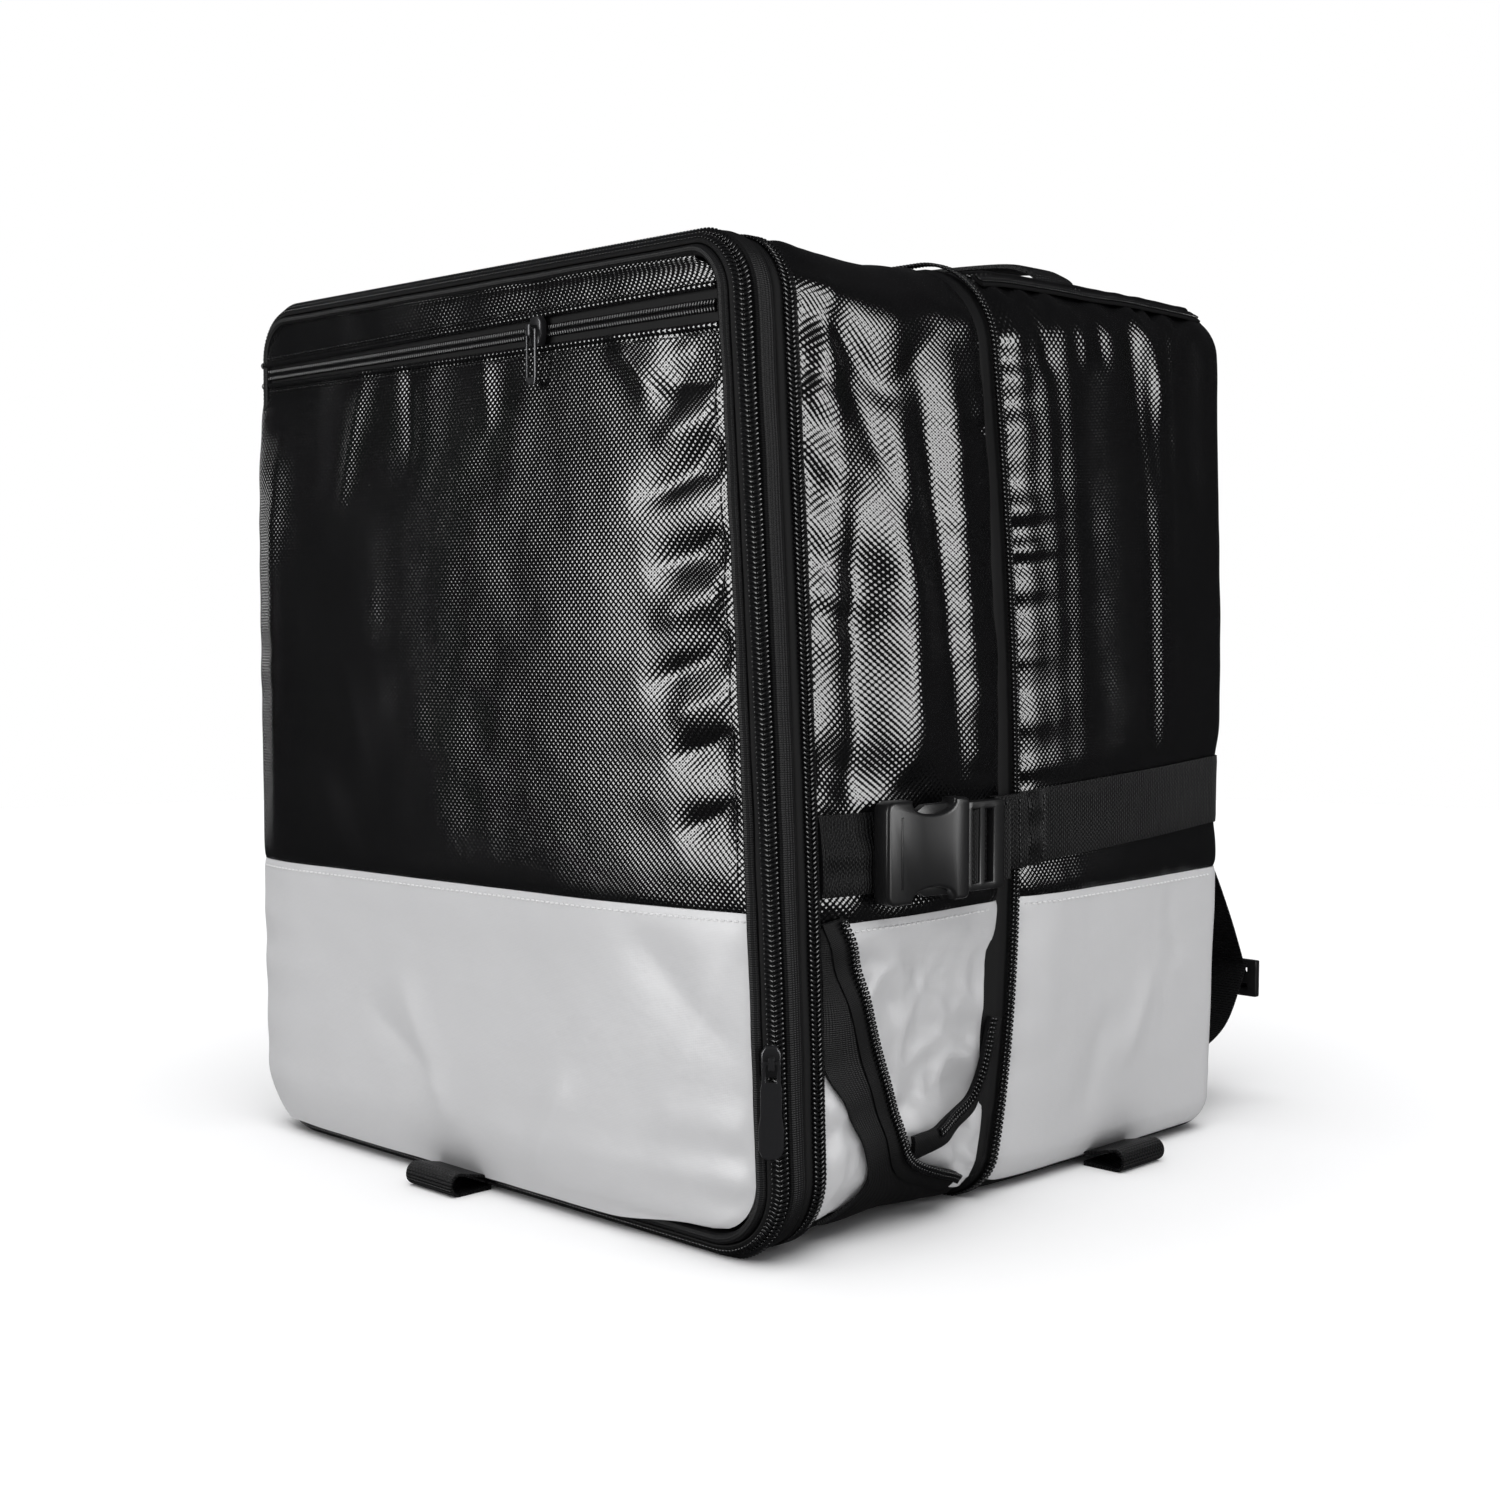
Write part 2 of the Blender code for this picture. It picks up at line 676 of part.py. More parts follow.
def make_door():
    columns = spaced(-1, 1, 14)
    fine = [-1, -0.97, *columns[1:-1], 0.97, 1]
    door_top = HEIGHT * SECTIONS[0].top - DOOR_INSET

    def pocket_low(across):
        return POCKET_ZIPPER_HEIGHT

    def pocket_high(across):
        return POCKET_ZIPPER_HEIGHT + mix(POCKET_STRIP_LEFT, POCKET_STRIP_RIGHT, (across + 1) / 2)

    def seam(across):
        return SEAM_HEIGHT + DOOR_SEAM_RISE * (1 + across / 2)

    def back(across, height):
        return PADDED_WALL + DOOR_SKIN

    def strip_level(across, height):
        return door_level(across, height) - POCKET_STRIP_RECESS

    def above(edge):
        return lambda across: edge(across) + GAP

    def door_low(across):
        return DOOR_INSET

    def door_high(across):
        return door_top

    low_shares = [0, 0.03, 0.10, 0.20, 0.36, 0.56, 0.78, 1]
    top_shares = corner_shares(4, True)
    panels = (
        ("door_lower", door_low, seam, low_shares, door_level, "silver_fabric"),
        ("door_upper", above(seam), pocket_low, spaced(0, 1, 12), door_level, "coated_black"),
        ("pocket_zipper", above(pocket_low), pocket_high, [0, 0.5, 1], strip_level, "zipper_black"),
        ("door_top_band", above(pocket_high), door_high, top_shares, door_level, "coated_black"),
    )
    for name, low, high, shares, level, material in panels:
        face_panel(name, low, high, shares, fine, 0.0, DOOR_INSET, level, back, material)


def make_back():
    """The padded back panel, closing the body inside its rounded rear edge."""
    columns = spaced(-1, 1, 8)
    top = SECTIONS[-1].top * HEIGHT - BACK_INSET
    shares = [0, 0.012, 0.05, 0.15, 0.3, 0.5, 0.7, 0.85, 0.95, 0.988, 1]

    def low(across):
        return BACK_INSET

    def high(across):
        return top

    def outer(across, height):
        return DEPTH

    def inner(across, height):
        return DEPTH - PADDED_WALL

    face_panel(
        "back_panel", low, high, shares, columns, BODY_TURN, BACK_INSET, outer, inner, "padded_mesh"
    )


def make_top_zipper():
    """The zipper along both top edges and the rear edge of the body's lid."""
    corner = 4.62
    run = [(corner, d) for d in spaced(BODY_START + 0.001, BODY_TURN, BODY_ROWS)]
    turn_depth = BODY_TURN + 0.006
    over = [(p, turn_depth) for p in stations(corner + 0.2, 12 - corner - 0.2)]
    route = [*run, *over, *[(12 - place, depth) for place, depth in reversed(run)]]
    centres = [skin(place, depth) for place, depth in route]
    outs = [(skin(place, depth, 0.01) - skin(place, depth)).normalized() for place, depth in route]
    half = TAPE_WIDTH * 0.4

    def point(column, row, low):
        before = centres[max(row - 1, 0)]
        after = centres[min(row + 1, len(centres) - 1)]
        across = outs[row].cross(after - before).normalized()
        rise = low if column in (0, 3) else low + (COIL_RISE if low > ON_SKIN else 0)
        return centres[row] + across * half * (-1, -0.4, 0.4, 1)[column] + outs[row] * rise

    made = sheet_mesh(
        4,
        len(route),
        lambda column, row: point(column, row, ON_SKIN + TAPE_THICKNESS),
        lambda column, row: point(column, row, ON_SKIN),
    )
    add_object("top_zipper", made, "zipper_black")


# Side straps, buckles and loose zipper tapes


def strap_middle(depth):
    """Height of the compression strap's middle, which rises to the rear edge."""
    middle = (GUSSET_START + GUSSET_END) / 2
    share = (depth - middle) / (BODY_TURN - middle)
    return STRAP_HEIGHT + STRAP_REAR_RISE * min(max(share, 0.0), 1.0)


def strap_rows(depths):
    half = WEBBING_WIDTH / 2
    return [((d, strap_middle(d) - half), (d, strap_middle(d) + half)) for d in depths]


def buckle_frame(side, start):
    """Places a buckle piece whose outline is drawn in XY, X back along the strap, Y up, Z outwards."""
    foot = side_point(side, start, strap_middle(start), 0.0)
    axes = Matrix(((0, 0, side), (1, 0, 0), (0, 1, 0))).to_4x4()
    return Matrix.Translation(foot) @ axes @ Matrix.Rotation(-BUCKLE_TILT, 4, "Y")


def scooped_outline(length, width):
    """The socket's outline, with a round scoop in each long edge that bares the plug's prongs."""
    half = width / 2
    centre = SCOOP_CENTRE * length
    reach = SCOOP_REACH * length
    edge = [(0.0, half - SOCKET_CORNER), (SOCKET_CORNER, half)]
    for k in range(7):
        turn = math.pi * k / 6
        edge.append((centre - reach * math.cos(turn), half - SCOOP_DEPTH * math.sin(turn)))
    edge += [(length - SOCKET_CORNER, half - GAP), (length, half - SOCKET_CORNER / 3)]
    return [(x, -y) for x, y in edge] + [(x, y) for x, y in reversed(edge)]


def make_compression_strap(side, word):
    strap_start = GUSSET_START + 0.001
    socket_start = strap_start + FRONT_STRAP_LENGTH + GAP
    plug_start = socket_start + SOCKET_LENGTH + GAP
    rear_start = plug_start + PLUG_LENGTH + GAP
    low, high = ON_SKIN, ON_SKIN + WEBBING_THICKNESS
    front = strap_rows(spaced(strap_start, strap_start + FRONT_STRAP_LENGTH, 3))
    side_patch(f"front_strap_{word}", side, front, low, high + WEBBING_THICKNESS, "webbing_black")

    seat = buckle_frame(side, socket_start)
    socket = outline_solid(scooped_outline(SOCKET_LENGTH, SOCKET_WIDTH), SOCKET_THICKNESS, 0.0016)
    lifted = seat @ Matrix.Translation((0, 0, BUCKLE_STAND_OFF))
    bmesh.ops.transform(socket, matrix=lifted, verts=socket.verts)
    add_object(f"buckle_socket_{word}", socket, "buckle_plastic")

    half = PLUG_WIDTH / 2
    corners = [(0, -half), (PLUG_LENGTH - PLUG_CORNER, -half), (PLUG_LENGTH, PLUG_CORNER - half)]
    corners += [(x, -y) for x, y in reversed(corners)]
    plug = outline_solid(corners, PLUG_SHARE * SOCKET_THICKNESS, 0.0012)
    centred = BUCKLE_STAND_OFF + SOCKET_THICKNESS * (1 - PLUG_SHARE) / 2
    behind = seat @ Matrix.Translation((SOCKET_LENGTH + GAP, 0, centred))
    bmesh.ops.transform(plug, matrix=behind, verts=plug.verts)
    add_object(f"buckle_plug_{word}", plug, "buckle_plastic")

    fold_end = rear_start + DOUBLED_LENGTH
    depths = sorted([rear_start, BODY_START - GAP, fold_end, *body_depths(), BODY_END + STRAP_ON_BACK])
    side_patch(f"rear_strap_{word}", side, strap_rows(depths), low, high, "webbing_black")
    doubled = strap_rows([d for d in depths if d <= fold_end])
    over = high + GAP
    side_patch(f"strap_fold_{word}", side, doubled, over, over + 2 * WEBBING_THICKNESS, "webbing_black")


def make_loose_tapes(side, word):
    low, high = ON_SKIN, ON_SKIN + TAPE_THICKNESS
    front = [(depth * DEPTH, height * HEIGHT) for depth, height in FRONT_TAPE_ROUTE]
    rear = [(depth * DEPTH, height * HEIGHT) for depth, height in REAR_TAPE_ROUTE]
    side_patch(f"front_tape_{word}", side, ribbon_rows(front, TAPE_WIDTH), low, high, "zipper_black", 2)
    side_patch(f"rear_tape_{word}", side, ribbon_rows(rear, TAPE_WIDTH), low, high, "zipper_black", 2)
    rows = [((a * DEPTH, z * HEIGHT), (b * DEPTH, z * HEIGHT)) for z, a, b in FACING_ROWS]
    side_patch(f"frame_facing_{word}", side, rows, low, high, "binding_black")


# Zipper sliders and pulls


def hole_grid(columns, rows, hole, thickness):
    """A plate in XY made of a grid, with the cells in hole left out, from z 0 to thickness."""
    made = bmesh.new()
    bmesh.ops.create_grid(made, x_segments=len(columns) - 1, y_segments=len(rows) - 1, size=1)
    made.verts.ensure_lookup_table()
    cells = {}
    for index, vert in enumerate(made.verts):
        column, row = index % len(columns), index // len(columns)
        cells[vert] = (column, row)
        wide = rows[row][1]
        vert.co = (columns[column] * wide, rows[row][0], 0)
    gone = []
    for face in made.faces:
        column = min(cells[v][0] for v in face.verts)
        row = min(cells[v][1] for v in face.verts)
        if (column, row) in hole:
            gone.append(face)
    bmesh.ops.delete(made, geom=gone, context="FACES")
    grown = bmesh.ops.extrude_face_region(made, geom=made.faces[:])
    moved = [v for v in grown["geom"] if isinstance(v, bmesh.types.BMVert)]
    bmesh.ops.translate(made, verts=moved, vec=(0, 0, thickness))
    return made


def make_slider(name, placed):
    """A slider: X across, Y along the chain, Z outwards, with a bridge that holds the pull's bar."""
    half_width, half_length = SLIDER_WIDTH / 2, SLIDER_LENGTH / 2
    nose = half_width * 0.6
    corners = [(-half_width, -half_length * 0.4), (-nose, -half_length), (nose, -half_length)]
    corners += [(half_width, -half_length * 0.4), (half_width, half_length * 0.6), (nose, half_length)]
    corners += [(-nose, half_length), (-half_width, half_length * 0.6)]
    body = outline_solid(corners, SLIDER_THICKNESS, 0.0006)
    bmesh.ops.transform(body, matrix=placed, verts=body.verts)
    slider = add_object(name, body, "pull_metal")

    reach = PULL_BAR / 2 + BRIDGE_PLAY
    roof = PIVOT_RISE + PULL_BAR / 2 + BRIDGE_HEADROOM
    columns = [-reach - BRIDGE_BAR, -reach, reach, reach + BRIDGE_BAR]
    rows = [(-BRIDGE_SUNK, 1.0), (roof, 1.0), (roof + BRIDGE_BAR, 1.0)]
    arch = hole_grid(columns, rows, {(1, 0)}, BRIDGE_WIDTH)
    turn = Matrix(((0, 0, 1), (1, 0, 0), (0, 1, 0))).to_4x4()
    upright = placed @ Matrix.Translation((-BRIDGE_WIDTH / 2, 0, SLIDER_THICKNESS)) @ turn
    bmesh.ops.transform(arch, matrix=upright, verts=arch.verts)
    bridge = add_object(f"{name}_bridge", arch, "pull_metal")
    bridge.hide_render = True
    bridge.display_type = "WIRE"
    joined = slider.modifiers.new("bridge", "BOOLEAN")
    joined.operation = "UNION"
    joined.object = bridge
    return slider


def make_pull(name, placed, half_width, wire, rows, hole):
    """A pull that hangs from its bar. rows are (distance below the bar's middle, share of the width)."""
    columns = [-half_width, -half_width + wire, half_width - wire, half_width]
    plate = hole_grid(columns, [(-below, wide) for below, wide in rows], hole, PULL_BAR)
    lift = SLIDER_THICKNESS + PIVOT_RISE - PULL_BAR / 2
    bmesh.ops.transform(plate, matrix=Matrix.Translation((0, 0, lift)), verts=plate.verts)
    bmesh.ops.transform(plate, matrix=placed, verts=plate.verts)
    return add_object(name, plate, "pull_metal")


def make_sliders():
    across = POCKET_SLIDER_X / (WIDTH / 2)
    strip_middle = POCKET_ZIPPER_HEIGHT + mix(POCKET_STRIP_LEFT, POCKET_STRIP_RIGHT, (1 + across) / 2) / 2
    face = door_level(across, strip_middle) - POCKET_STRIP_RECESS - DEPTH / 2
    # The pocket's slider looks forwards: across is +Z there, because its chain runs along X
    outwards = Matrix(((1, 0, 0), (0, 0, -1), (0, 1, 0))).to_4x4()
    pocket = Matrix.Translation((POCKET_SLIDER_X, face - 3 * GAP, strip_middle)) @ outwards
    make_slider("pocket_slider", pocket)
    bar = PULL_BAR / 2
    loop_rows = [(-bar, 1.0), (bar, 1.0), (POCKET_PULL_LENGTH - 0.004, 1.0), (POCKET_PULL_LENGTH, 0.8)]
    make_pull("pocket_pull", pocket, 0.0040, 0.0014, loop_rows, {(1, 1)})

    # The door's slider sits on the rounded front corner and looks out between the two faces
    corner = hoop_point(place_at(DOOR_SLIDER_HEIGHT, 0.0), *DOOR_SLIDER_SEAT)
    slant = math.sqrt(0.5)
    diagonal = Matrix(((slant, 0, slant), (slant, 0, -slant), (0, 1, 0))).to_4x4()
    door = Matrix.Translation(corner + Vector((slant, -slant, 0)) * 4 * GAP) @ diagonal
    make_slider("door_slider", door)
    long = DOOR_PULL_LENGTH
    tab_rows = [(-bar, 0.75), (bar, 0.75), (0.009, 0.75), (0.012, 0.85), (long * 0.55, 0.85)]
    tab_rows += [(long * 0.68, 1.0), (long * 0.90, 1.0), (long * 0.97, 0.75), (long, 0.4)]
    make_pull("door_pull", door, 0.0060, 0.0024, tab_rows, {(1, 1)})


# Webbing loops, handle and shoulder straps


def make_loop(name, placed):
    """A teardrop of webbing: X along its width, Y outwards from the edge it is sewn under, Z up."""
    angles = spaced(-math.pi / 2, math.pi / 2, 8)
    radius = LOOP_HEIGHT / 2
    half = WEBBING_WIDTH / 2

    def line(size, low, high):
        bend = [(LOOP_REACH - radius + size * math.cos(a), radius + size * math.sin(a)) for a in angles]
        return [(0.0, low), *bend, (0.0, high)]

    thick = WEBBING_THICKNESS
    outer = line(radius, 0.0, LOOP_TAIL_HEIGHT)
    inner = line(radius - thick, 1.6 * thick, LOOP_TAIL_HEIGHT - thick)

    def point(path, column, row):
        y, z = path[column]
        return placed @ Vector((half * (row - 1), y, z))

    made = sheet_mesh(len(outer), 3, lambda c, r: point(outer, c, r), lambda c, r: point(inner, c, r))
    add_object(name, made, "webbing_black")


def make_loops():
    front = Matrix.Rotation(math.pi, 4, "Z")
    sewn = -DEPTH / 2 - BINDING_LIP - GAP
    make_loop("base_loop_front", Matrix.Translation((LOOP_FRONT_X, sewn, 0)) @ front)
    for side, word in ((1, "right"), (-1, "left")):
        reach = side_point(1, LOOP_SIDE_DEPTH, LOOP_TAIL_HEIGHT, 0.0).x
        turn = Matrix.Rotation(-side * math.pi / 2, 4, "Z")
        y = LOOP_SIDE_DEPTH - DEPTH / 2
        make_loop(f"base_loop_{word}", Matrix.Translation((side * (reach + GAP), y, 0)) @ turn)


def make_handle():
    """A carry handle of doubled webbing whose ends turn under and are sewn to the lid."""
    level = section_at(HANDLE_DEPTH).top * HEIGHT + ON_SKIN + HANDLE_THICKNESS / 2
    end = HANDLE_LENGTH / 2
    peak = level + HANDLE_RISE
    y = HANDLE_DEPTH - DEPTH / 2
    low = level + HANDLE_THICKNESS * 0.2
    turned = low + 2 * HANDLE_TURN
    right = [
        (0.0, y, peak),
        (0.45 * end, y, peak - 0.10 * HANDLE_RISE),
        (0.80 * end, y, mix(turned, peak, 0.45)),
        (0.95 * end, y, turned + 0.001),
        (end, y, low + HANDLE_TURN),
        (0.94 * end, y, low),
        (0.70 * end, y, low),
    ]
    left = [(-x, y, z) for x, y, z in reversed(right[1:])]
    route = [*left, *right]
    band("top_handle", route, [(0, HANDLE_WIDTH, 0)] * len(route), HANDLE_THICKNESS, "webbing_black", 2)


def make_shoulder_straps(side, word):
    """A padded shoulder strap with its webbing down to the base corner, on the side given."""
    x = side * SHOULDER_SPACING / 2
    back = DEPTH / 2 + ON_SKIN + PAD_THICKNESS / 2
    pad_route = [
        (0.62 * x, back, 0.920 * HEIGHT),
        (0.72 * x, back + 0.014, 0.830 * HEIGHT),
        (0.92 * x, back + 0.030, 0.690 * HEIGHT),
        (1.06 * x, back + 0.036, 0.550 * HEIGHT),
        (1.14 * x, back + 0.036, 0.420 * HEIGHT),
    ]
    pad_width = [(side * PAD_WIDTH * share, 0, 0) for share in (1.0, 1.0, 1.0, 0.95, 0.70)]
    band(f"shoulder_pad_{word}", pad_route, pad_width, PAD_THICKNESS, "padded_mesh", 3)

    foot = pad_route[-1]
    narrow = 0.75 * WEBBING_WIDTH
    fold = (1.46 * x, DEPTH / 2 + 0.090, 0.155 * HEIGHT)
    upper_route = [
        (foot[0], foot[1], foot[2] - ON_SKIN),
        (1.28 * x, DEPTH / 2 + 0.066, 0.330 * HEIGHT),
        (1.40 * x, DEPTH / 2 + 0.076, 0.240 * HEIGHT),
        (fold[0], fold[1], fold[2] + ADJUSTER_LENGTH / 2 + FACET_GAP),
    ]
    width = [(side * narrow, 0, 0)] * len(upper_route)
    band(f"shoulder_webbing_{word}", upper_route, width, WEBBING_THICKNESS, "webbing_black")

    centre = Vector(fold)
    across, along = ADJUSTER_WIDTH / 2, ADJUSTER_LENGTH / 2
    corners = [(-across, -along), (across, -along), (across, along), (-across, along)]
    adjuster = outline_solid(corners, ADJUSTER_THICKNESS, 0.001)
    upright = Matrix(((side, 0, 0), (0, 0, 1), (0, 1, 0))).to_4x4()
    seat = Matrix.Translation(centre - Vector((0, ADJUSTER_THICKNESS / 2, 0)))
    bmesh.ops.transform(adjuster, matrix=seat @ upright, verts=adjuster.verts)
    add_object(f"strap_adjuster_{word}", adjuster, "buckle_plastic")

    lower_route = [
        (fold[0], fold[1], fold[2] - ADJUSTER_LENGTH / 2 - FACET_GAP),
        (1.50 * x, DEPTH / 2 + 0.056, 0.108 * HEIGHT),
        (1.52 * x, DEPTH / 2 + 0.022, 0.082 * HEIGHT),
        (1.53 * x, DEPTH / 2 + 2 * GAP, 0.082 * HEIGHT),
    ]
    band(f"anchor_webbing_{word}", lower_route, width, WEBBING_THICKNESS, "webbing_black")


clear_scene()
make_rings()
make_shell()
make_door()
make_back()
make_top_zipper()
for hand, hand_word in ((1, "right"), (-1, "left")):
    make_compression_strap(hand, hand_word)
    make_loose_tapes(hand, hand_word)
    make_shoulder_straps(hand, hand_word)
make_sliders()
make_loops()
make_handle()
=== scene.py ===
"""Looks of an insulated delivery backpack, filled and standing on its base.

Metres, +Z up, in the frame of the CAD: the door faces -Y, the shoulder straps +Y, and the side that the
photograph shows is +X.
"""

import math

import bmesh
import bpy
import numpy as np
from mathutils import Matrix, Vector, noise


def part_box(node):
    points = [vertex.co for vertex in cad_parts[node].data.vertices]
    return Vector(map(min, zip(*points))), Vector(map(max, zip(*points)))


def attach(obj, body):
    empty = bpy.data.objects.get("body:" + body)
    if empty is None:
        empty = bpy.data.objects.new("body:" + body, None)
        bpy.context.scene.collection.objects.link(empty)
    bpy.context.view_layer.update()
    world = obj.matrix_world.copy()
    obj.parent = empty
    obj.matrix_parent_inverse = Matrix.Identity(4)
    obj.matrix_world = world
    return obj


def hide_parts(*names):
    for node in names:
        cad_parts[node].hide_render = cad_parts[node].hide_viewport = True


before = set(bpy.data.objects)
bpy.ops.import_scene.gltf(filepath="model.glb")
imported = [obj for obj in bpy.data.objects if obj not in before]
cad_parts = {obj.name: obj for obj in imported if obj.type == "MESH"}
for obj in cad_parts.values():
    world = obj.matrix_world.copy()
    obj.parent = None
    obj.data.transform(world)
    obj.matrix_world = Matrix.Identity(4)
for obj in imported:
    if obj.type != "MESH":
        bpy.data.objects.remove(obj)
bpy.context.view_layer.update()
scene = bpy.context.scene

# Camera
# The photographer stands 1.3 m from the bag's near corner and a little above its middle, with a
# 50 mm lens, so both the door and the side are seen at about 45 degrees.

camera_data = bpy.data.cameras.new("camera")
camera_data.lens = 50.16
camera_data.sensor_width = 36
camera = bpy.data.objects.new("camera", camera_data)
camera.location = (0.9024, -0.9075, 0.3155)
camera.rotation_euler = (math.radians(86.277), 0, math.radians(44.561))
scene.collection.objects.link(camera)
scene.camera = camera

# Studio
# A white floor and a white surround, a wide overhead light, and tall soft boxes to the left and right
# that the coated fabric mirrors.

scene.view_settings.view_transform = "Standard"


def soft_box(name, bearing, distance, low, high, width, radiance):
    """An upright soft box round the bag at a bearing in degrees from +X, with its lower and upper edge."""
    lamp = bpy.data.lights.new(name, "AREA")
    lamp.shape = "RECTANGLE"
    lamp.size = width
    lamp.size_y = high - low
    lamp.energy = radiance * math.pi * width * (high - low)
    held = bpy.data.objects.new(name, lamp)
    turn = math.radians(bearing)
    held.location = (distance * math.cos(turn), distance * math.sin(turn), (low + high) / 2)
    held.rotation_euler = (math.pi / 2, 0, turn + math.pi / 2)
    held.visible_camera = False
    held.visible_diffuse = False
    scene.collection.objects.link(held)


soft_box("door_box", -101, 2.0, 0.05, 1.35, 1.00, 17.0)
soft_box("left_box", -176, 2.0, 0.10, 1.30, 0.25, 2.5)
soft_box("side_box", 8, 2.0, 0.05, 1.35, 1.05, 13.0)

overhead = bpy.data.lights.new("overhead", "SUN")
overhead.energy = 2.6
overhead.angle = math.radians(70)
overhead_held = bpy.data.objects.new("overhead", overhead)
overhead_held.rotation_euler = (math.radians(12), math.radians(8), 0)
overhead_held.visible_glossy = False
scene.collection.objects.link(overhead_held)

surround = bpy.data.worlds.new("surround")
surround.use_nodes = True
scene.world = surround
sky = surround.node_tree
sky.nodes.clear()
seen = sky.nodes.new("ShaderNodeBackground")
seen.inputs["Color"].default_value = (1, 1, 1, 1)
fill = sky.nodes.new("ShaderNodeBackground")
fill.inputs["Color"].default_value = (0.38, 0.38, 0.39, 1)
mirrored = sky.nodes.new("ShaderNodeBackground")
mirrored.inputs["Color"].default_value = (0.03, 0.03, 0.031, 1)
ray = sky.nodes.new("ShaderNodeLightPath")
unseen = sky.nodes.new("ShaderNodeMixShader")
chosen = sky.nodes.new("ShaderNodeMixShader")
sky_out = sky.nodes.new("ShaderNodeOutputWorld")
sky.links.new(ray.outputs["Is Camera Ray"], chosen.inputs["Fac"])
sky.links.new(ray.outputs["Is Glossy Ray"], unseen.inputs["Fac"])
sky.links.new(fill.outputs[0], unseen.inputs[1])
sky.links.new(mirrored.outputs[0], unseen.inputs[2])
sky.links.new(unseen.outputs[0], chosen.inputs[1])
sky.links.new(seen.outputs[0], chosen.inputs[2])
sky.links.new(chosen.outputs[0], sky_out.inputs["Surface"])

floor_mesh = bmesh.new()
bmesh.ops.create_circle(floor_mesh, cap_ends=True, segments=96, radius=2.4)
floor_data = bpy.data.meshes.new("floor")
floor_mesh.to_mesh(floor_data)
floor_mesh.free()
floor = bpy.data.objects.new("floor", floor_data)
scene.collection.objects.link(floor)
floor.visible_glossy = False
floor_paint = bpy.data.materials.new("floor_paint")
floor_paint.use_nodes = True
floor_shader = floor_paint.node_tree.nodes["Principled BSDF"]
floor_shader.inputs["Base Color"].default_value = (0.94, 0.94, 0.94, 1)
floor_shader.inputs["Roughness"].default_value = 1.0
floor_shader.inputs["Specular IOR Level"].default_value = 0.0
floor_data.materials.append(floor_paint)

# Black walls of the gusset and the body
# The walls above the hem are glossy coated fabric embossed with a fine diamond weave. The gusset is a
# single layer sewn between two zippers, and the body has foam behind it.

WIDTH = 0.426
DEPTH = 0.400
HEIGHT = 0.500
SEAM_HEIGHT = 0.163
REAR_RADIUS = 0.018
SIDE_BULGE = 0.010
LEAN_TOP = -0.018
LEAN_BOTTOM = 0.012
RING_BOW = 0.018
GUSSET_START = 0.0387
GUSSET_END = 0.1532
REAR_ZIPPER_START = 0.1535
REAR_ZIPPER_END = 0.1777
BODY_START = 0.1780
GUSSET_CLOTH_END = GUSSET_END + 0.0055
BODY_LAP = 0.0060
BODY_CLOTH_START = BODY_START - BODY_LAP
BODY_TURN = DEPTH - REAR_RADIUS
BODY_END = BODY_TURN + REAR_RADIUS * math.pi / 2
STRAP_HEIGHT = 0.197
STRAP_REAR_RISE = 0.013
# Rows of depth as a share of DEPTH, lean, bulge, then top and corner radii as shares of HEIGHT
SECTIONS = np.array(
    (
        (0.000, 1.00, 0.25, 1.000, 0.060, 0.085),
        (0.095, 0.80, 0.30, 0.998, 0.062, 0.085),
        (0.150, 0.55, 0.70, 0.993, 0.072, 0.095),
        (0.250, 0.30, 0.90, 0.990, 0.080, 0.100),
        (0.350, 0.10, 0.75, 0.994, 0.086, 0.070),
        (0.400, 0.05, 0.80, 1.000, 0.088, 0.052),
        (0.440, 0.00, 0.85, 1.000, 0.086, 0.044),
        (0.560, 0.00, 1.00, 0.996, 0.072, 0.040),
        (0.750, 0.00, 1.00, 0.992, 0.056, 0.040),
        (1.000, 0.00, 0.50, 0.990, 0.050, 0.040),
    )
)


def mix(low, high, share):
    """A share of the way from low to high."""
    return low + (high - low) * share


def smooth(share):
    """A share from 0 to 1 that starts and ends slowly."""
    share = np.clip(share, 0.0, 1.0)
    return share * share * (3 - 2 * share)


def section_at(depth):
    """Lean, bulge, top, top radius and bottom radius at a depth."""
    share = np.clip(depth / DEPTH, 0.0, 1.0)
    after = np.clip(np.searchsorted(SECTIONS[:, 0], share), 1, len(SECTIONS) - 1)
    before = after - 1
    part = smooth((share - SECTIONS[before, 0]) / (SECTIONS[after, 0] - SECTIONS[before, 0]))
    row = SECTIONS[before] + (SECTIONS[after] - SECTIONS[before]) * part[..., None]
    return row[..., 1], row[..., 2], row[..., 3] * HEIGHT, row[..., 4] * HEIGHT, row[..., 5] * HEIGHT


